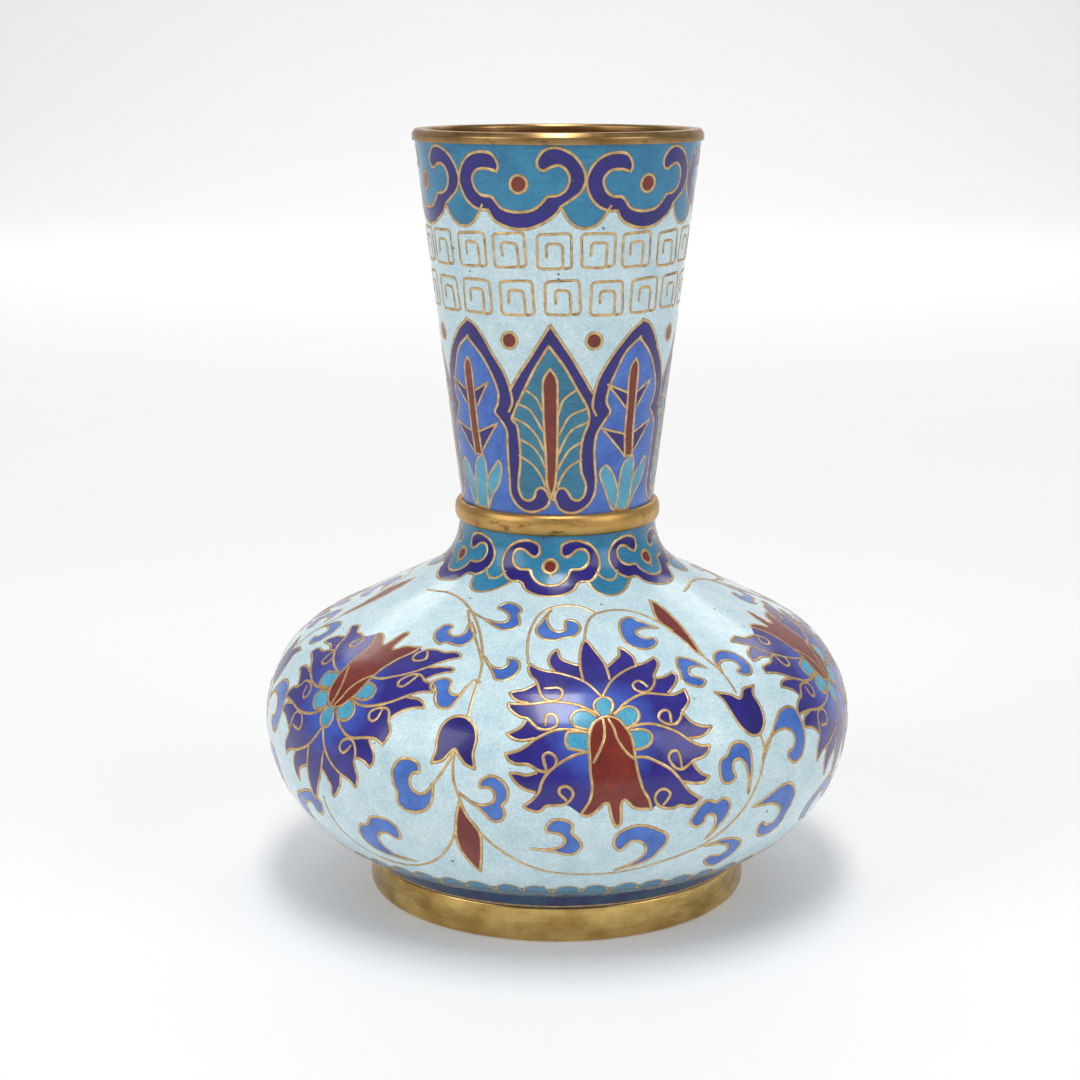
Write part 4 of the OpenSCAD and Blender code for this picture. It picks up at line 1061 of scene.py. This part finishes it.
def metal_fittings(bright, collar_look, foot_look):
    """The mouth rim, the collar and the foot ring, turned within their CAD boxes."""
    outer = rim_high[0]
    inner = outer - 2.4
    rim = [(inner, RIM_Z), (outer, RIM_Z), (outer, VASE_H - 0.75), (outer - 0.5, VASE_H),
           (inner + 0.3, VASE_H), (inner, VASE_H - 0.4)]
    own(lathe("rim_ring", rounded(rim, 0.12)), bright, "gilt_brass", "mouth_rim")
    low, high = COLLAR_Z, COLLAR_TOP
    deep = WAIST_R - 2
    belt = [(deep, low), (COLLAR_R - 0.75, low), (COLLAR_R - 0.3, low + 0.35),
            (COLLAR_R - 0.02, low + 1.2), (COLLAR_R - 0.02, high - 1.2),
            (COLLAR_R - 0.3, high - 0.35), (COLLAR_R - 0.75, high), (deep, high)]
    own(lathe("collar_ring", rounded(belt, 0.3)), collar_look, "gilt_brass", "collar_band")
    wall_t = 2.6
    foot = [(FOOT_R - wall_t, 0.3), (FOOT_R - wall_t + 0.3, 0), (FOOT_R - 0.9, 0),
            (FOOT_R - 0.3, 0.2), (FOOT_R, 0.85), (FOOT_R - 0.05, FOOT_H - 0.3),
            (FOOT_R - 0.25, FOOT_H - 0.02), (FOOT_R - wall_t, FOOT_H - 0.02)]
    own(lathe("foot_ring_turned", rounded(foot, 0.25)), foot_look, "gilt_brass", "foot_ring")


# ---- the scene -------------------------------------------------------------------------

def camera():
    """The camera of the photo, which looks a little down on the vase."""
    place, down, lens, sensor = (-0.0029, -0.363, 0.1389), 12.43, 73.73, 36.0
    data = bpy.data.cameras.new("camera")
    data.sensor_width, data.lens = sensor, lens
    data.clip_start, data.clip_end = 0.01, 20
    ob = bpy.data.objects.new("camera", data)
    ob.location = place
    ob.rotation_euler = (math.radians(90 - down), 0, 0)
    bpy.context.collection.objects.link(ob)
    bpy.context.scene.camera = ob


def lamp(name, place, size_x, size_y, power, aim=(0, 0, 0.06)):
    data = bpy.data.lights.new(name, "AREA")
    data.shape, data.size, data.size_y = "RECTANGLE", size_x, size_y
    data.energy = power
    ob = bpy.data.objects.new(name, data)
    ob.location = place
    ob.rotation_euler = (Vector(aim) - Vector(place)).to_track_quat("-Z", "Y").to_euler()
    bpy.context.collection.objects.link(ob)


def studio():
    """A white paper sweep, an even pale sky, and four soft lamps."""
    m = Nodes("paper_sweep")
    white = m.blend(m.noise((6, 6, 6), 2.0), (0.74, 0.74, 0.74, 1), (0.76, 0.76, 0.76, 1))
    m.set(Base_Color=white, Roughness=m.range(m.noise((60, 60, 60), 2.0), 0, 1, 0.75, 0.85))
    m.join(white, m.shader.inputs["Emission Color"])
    m.shader.inputs["Emission Strength"].default_value = 0.22
    front, back, bend_r, top = -4.0, 1.5, 0.8, 4.0
    bend = [(front, 0.0)] + [(back + math.sin(a) * bend_r, bend_r - math.cos(a) * bend_r)
                             for a in np.linspace(0, math.pi / 2, 24)] + [(back + bend_r, top)]
    level = start_box[0].z
    verts = [(x, y, z + level) for y, z in bend for x in (-5, 5)]
    faces = [(2 * i, 2 * i + 1, 2 * i + 3, 2 * i + 2) for i in range(len(bend) - 1)]
    mesh = bpy.data.meshes.new("floor")
    mesh.from_pydata(verts, [], faces)
    mesh.polygons.foreach_set("use_smooth", np.ones(len(faces), bool))
    mesh.materials.append(m.mat)
    floor = bpy.data.objects.new("floor", mesh)
    bpy.context.collection.objects.link(floor)
    world = bpy.data.worlds.new("studio")
    world.use_nodes = True
    world.node_tree.nodes["Background"].inputs[0].default_value = (0.97, 0.98, 1, 1)
    world.node_tree.nodes["Background"].inputs[1].default_value = 0.3
    bpy.context.scene.world = world
    lamp("overhead", (0.0, -0.2, 0.8), 0.16, 0.5, 3.4, (0, 0, 0.04))
    lamp("left", (-1.1, -0.7, 0.7), 0.8, 0.8, 6)
    lamp("right", (1.1, -0.7, 0.7), 0.8, 0.8, 5)
    lamp("behind", (0, 1.2, 0.9), 1.6, 0.8, 9, (0, 1.4, 0))
    bpy.context.scene.view_settings.view_transform = "Standard"


def main():
    """Draws the neck and the body on their boards, and dresses what is left of the CAD."""
    # each pale colour below is the painted sheen streaked into that enamel
    aqua = enamel("pale_aqua_enamel", rgb(204, 226, 231), rgb(184, 212, 221),
                  pale=rgb(216, 234, 238))
    turquoise = enamel("turquoise_enamel", rgb(50, 132, 168), rgb(36, 112, 152),
                       pale=rgb(78, 152, 182))
    teal = enamel("teal_enamel", rgb(52, 124, 152), rgb(38, 104, 134), pale=rgb(78, 144, 166))
    light = enamel("light_turquoise_enamel", rgb(90, 172, 200), rgb(64, 148, 184))
    cobalt = enamel("cobalt_enamel", rgb(42, 34, 126), rgb(34, 28, 102), rough=0.18)
    petal = enamel("lotus_enamel", rgb(50, 42, 138), rgb(40, 34, 114), tint=rgb(64, 90, 184),
                   rough=0.18)
    cove = enamel("cove_enamel", rgb(36, 40, 98), rgb(30, 78, 104))
    blue = enamel("mid_blue_enamel", rgb(74, 120, 200), rgb(54, 94, 178), pale=rgb(98, 140, 210))
    red = enamel("red_brown_enamel", rgb(128, 48, 38), rgb(104, 34, 28), rough=0.18)
    wires = wire_metal()
    bright = gilt_brass("rim_gilt", rgb(184, 148, 96), rgb(146, 112, 70), rgb(100, 70, 44), 0.6)
    collar_look = gilt_brass("collar_gilt", rgb(212, 172, 104), rgb(184, 142, 80),
                             rgb(122, 88, 52), 0.8, 0.36)
    foot_look = gilt_brass("foot_gilt", rgb(218, 184, 112), rgb(172, 136, 74),
                           rgb(146, 108, 62), 0.3, 0.2)
    mouth_look = gilt_brass("mouth_gilt", rgb(206, 166, 104), rgb(150, 112, 66),
                            rgb(98, 68, 44), 0.5, 0.32)
    inside = copper("copper_inside")

    neck = Board(V_RIM - 0.05, V_COLLAR + 0.6, 0.34, "ground")
    mouth_border(neck)
    fret_bands(neck)
    neck_panels(neck)
    build_board(neck, {
        "ground": (aqua, ["fret_ground"]),
        "rim_turquoise": (turquoise, ["rim_ground", "rim_scallops"]),
        "rim_heads": (cobalt, ["rim_clouds"]),
        "rim_dots": (red, ["rim_pearls"]),
        "frames": (cobalt, ["lappet_frames"]),
        "palm_field": (teal, ["palm_fields"]),
        "red_neck": (red, ["palm_spines", "bamboo_stems", "neck_pearls"]),
        "bamboo_field": (blue, ["bamboo_fields"]),
        "bamboo_leaf": (cobalt, ["bamboo_leaves"]),
        "bamboo_shoot": (light, ["bamboo_shoots"]),
        "wire": (wires, ["rim_wires", "fret_wires", "panel_wires", "tip_wires"]),
    }, 2.5, 1.0, "neck_")

    belly = Board(V_SHOULDER - 0.5, V_END, 0.72, "ground")
    belly.metal = "shoulder_wire"
    shoulder_border(belly)
    scroll(belly)
    belly.metal = "foot_wire"
    foot_border(belly)
    build_board(belly, {
        "ground": (aqua, ["belly_ground"]),
        "shoulder_turquoise": (turquoise, ["shoulder_ground", "shoulder_scallops"]),
        "shoulder_heads": (cobalt, ["shoulder_clouds"]),
        "shoulder_dots": (red, ["shoulder_pearls"]),
        "petals": (petal, ["lotus_petals"]),
        "lobes": (light, ["lotus_lobes"]),
        "bells": (red, ["lotus_bells"]),
        "buds": (cobalt, ["tulip_buds"]),
        "blades": (red, ["blade_leaves"]),
        "curl_leaves": (blue, ["curl_leaves"]),
        "foot_petals": (turquoise, ["foot_petals"]),
        "foot_marks": (red, []),
        "cove": (cove, ["foot_band"]),
        "shoulder_wire": (wires, ["shoulder_wires"]),
        "lotus_wire": (wires, ["lotus_wires"]),
        "leaf_wire": (wires, ["leaf_wires"]),
        "foot_wire": (wires, ["petal_wires"]),
    }, 2.0, 1.0, "body_")

    metal_fittings(bright, collar_look, foot_look)
    for node in ("neck_tube", "upper_body", "lower_body", "base_plate"):
        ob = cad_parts[node]
        ob.data.materials.clear()
        ob.data.materials.append(mouth_look if node == "neck_tube" else inside)
    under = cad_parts["base_enamel"]
    under.data.materials.clear()
    under.data.materials.append(turquoise)
    camera()
    studio()


main()
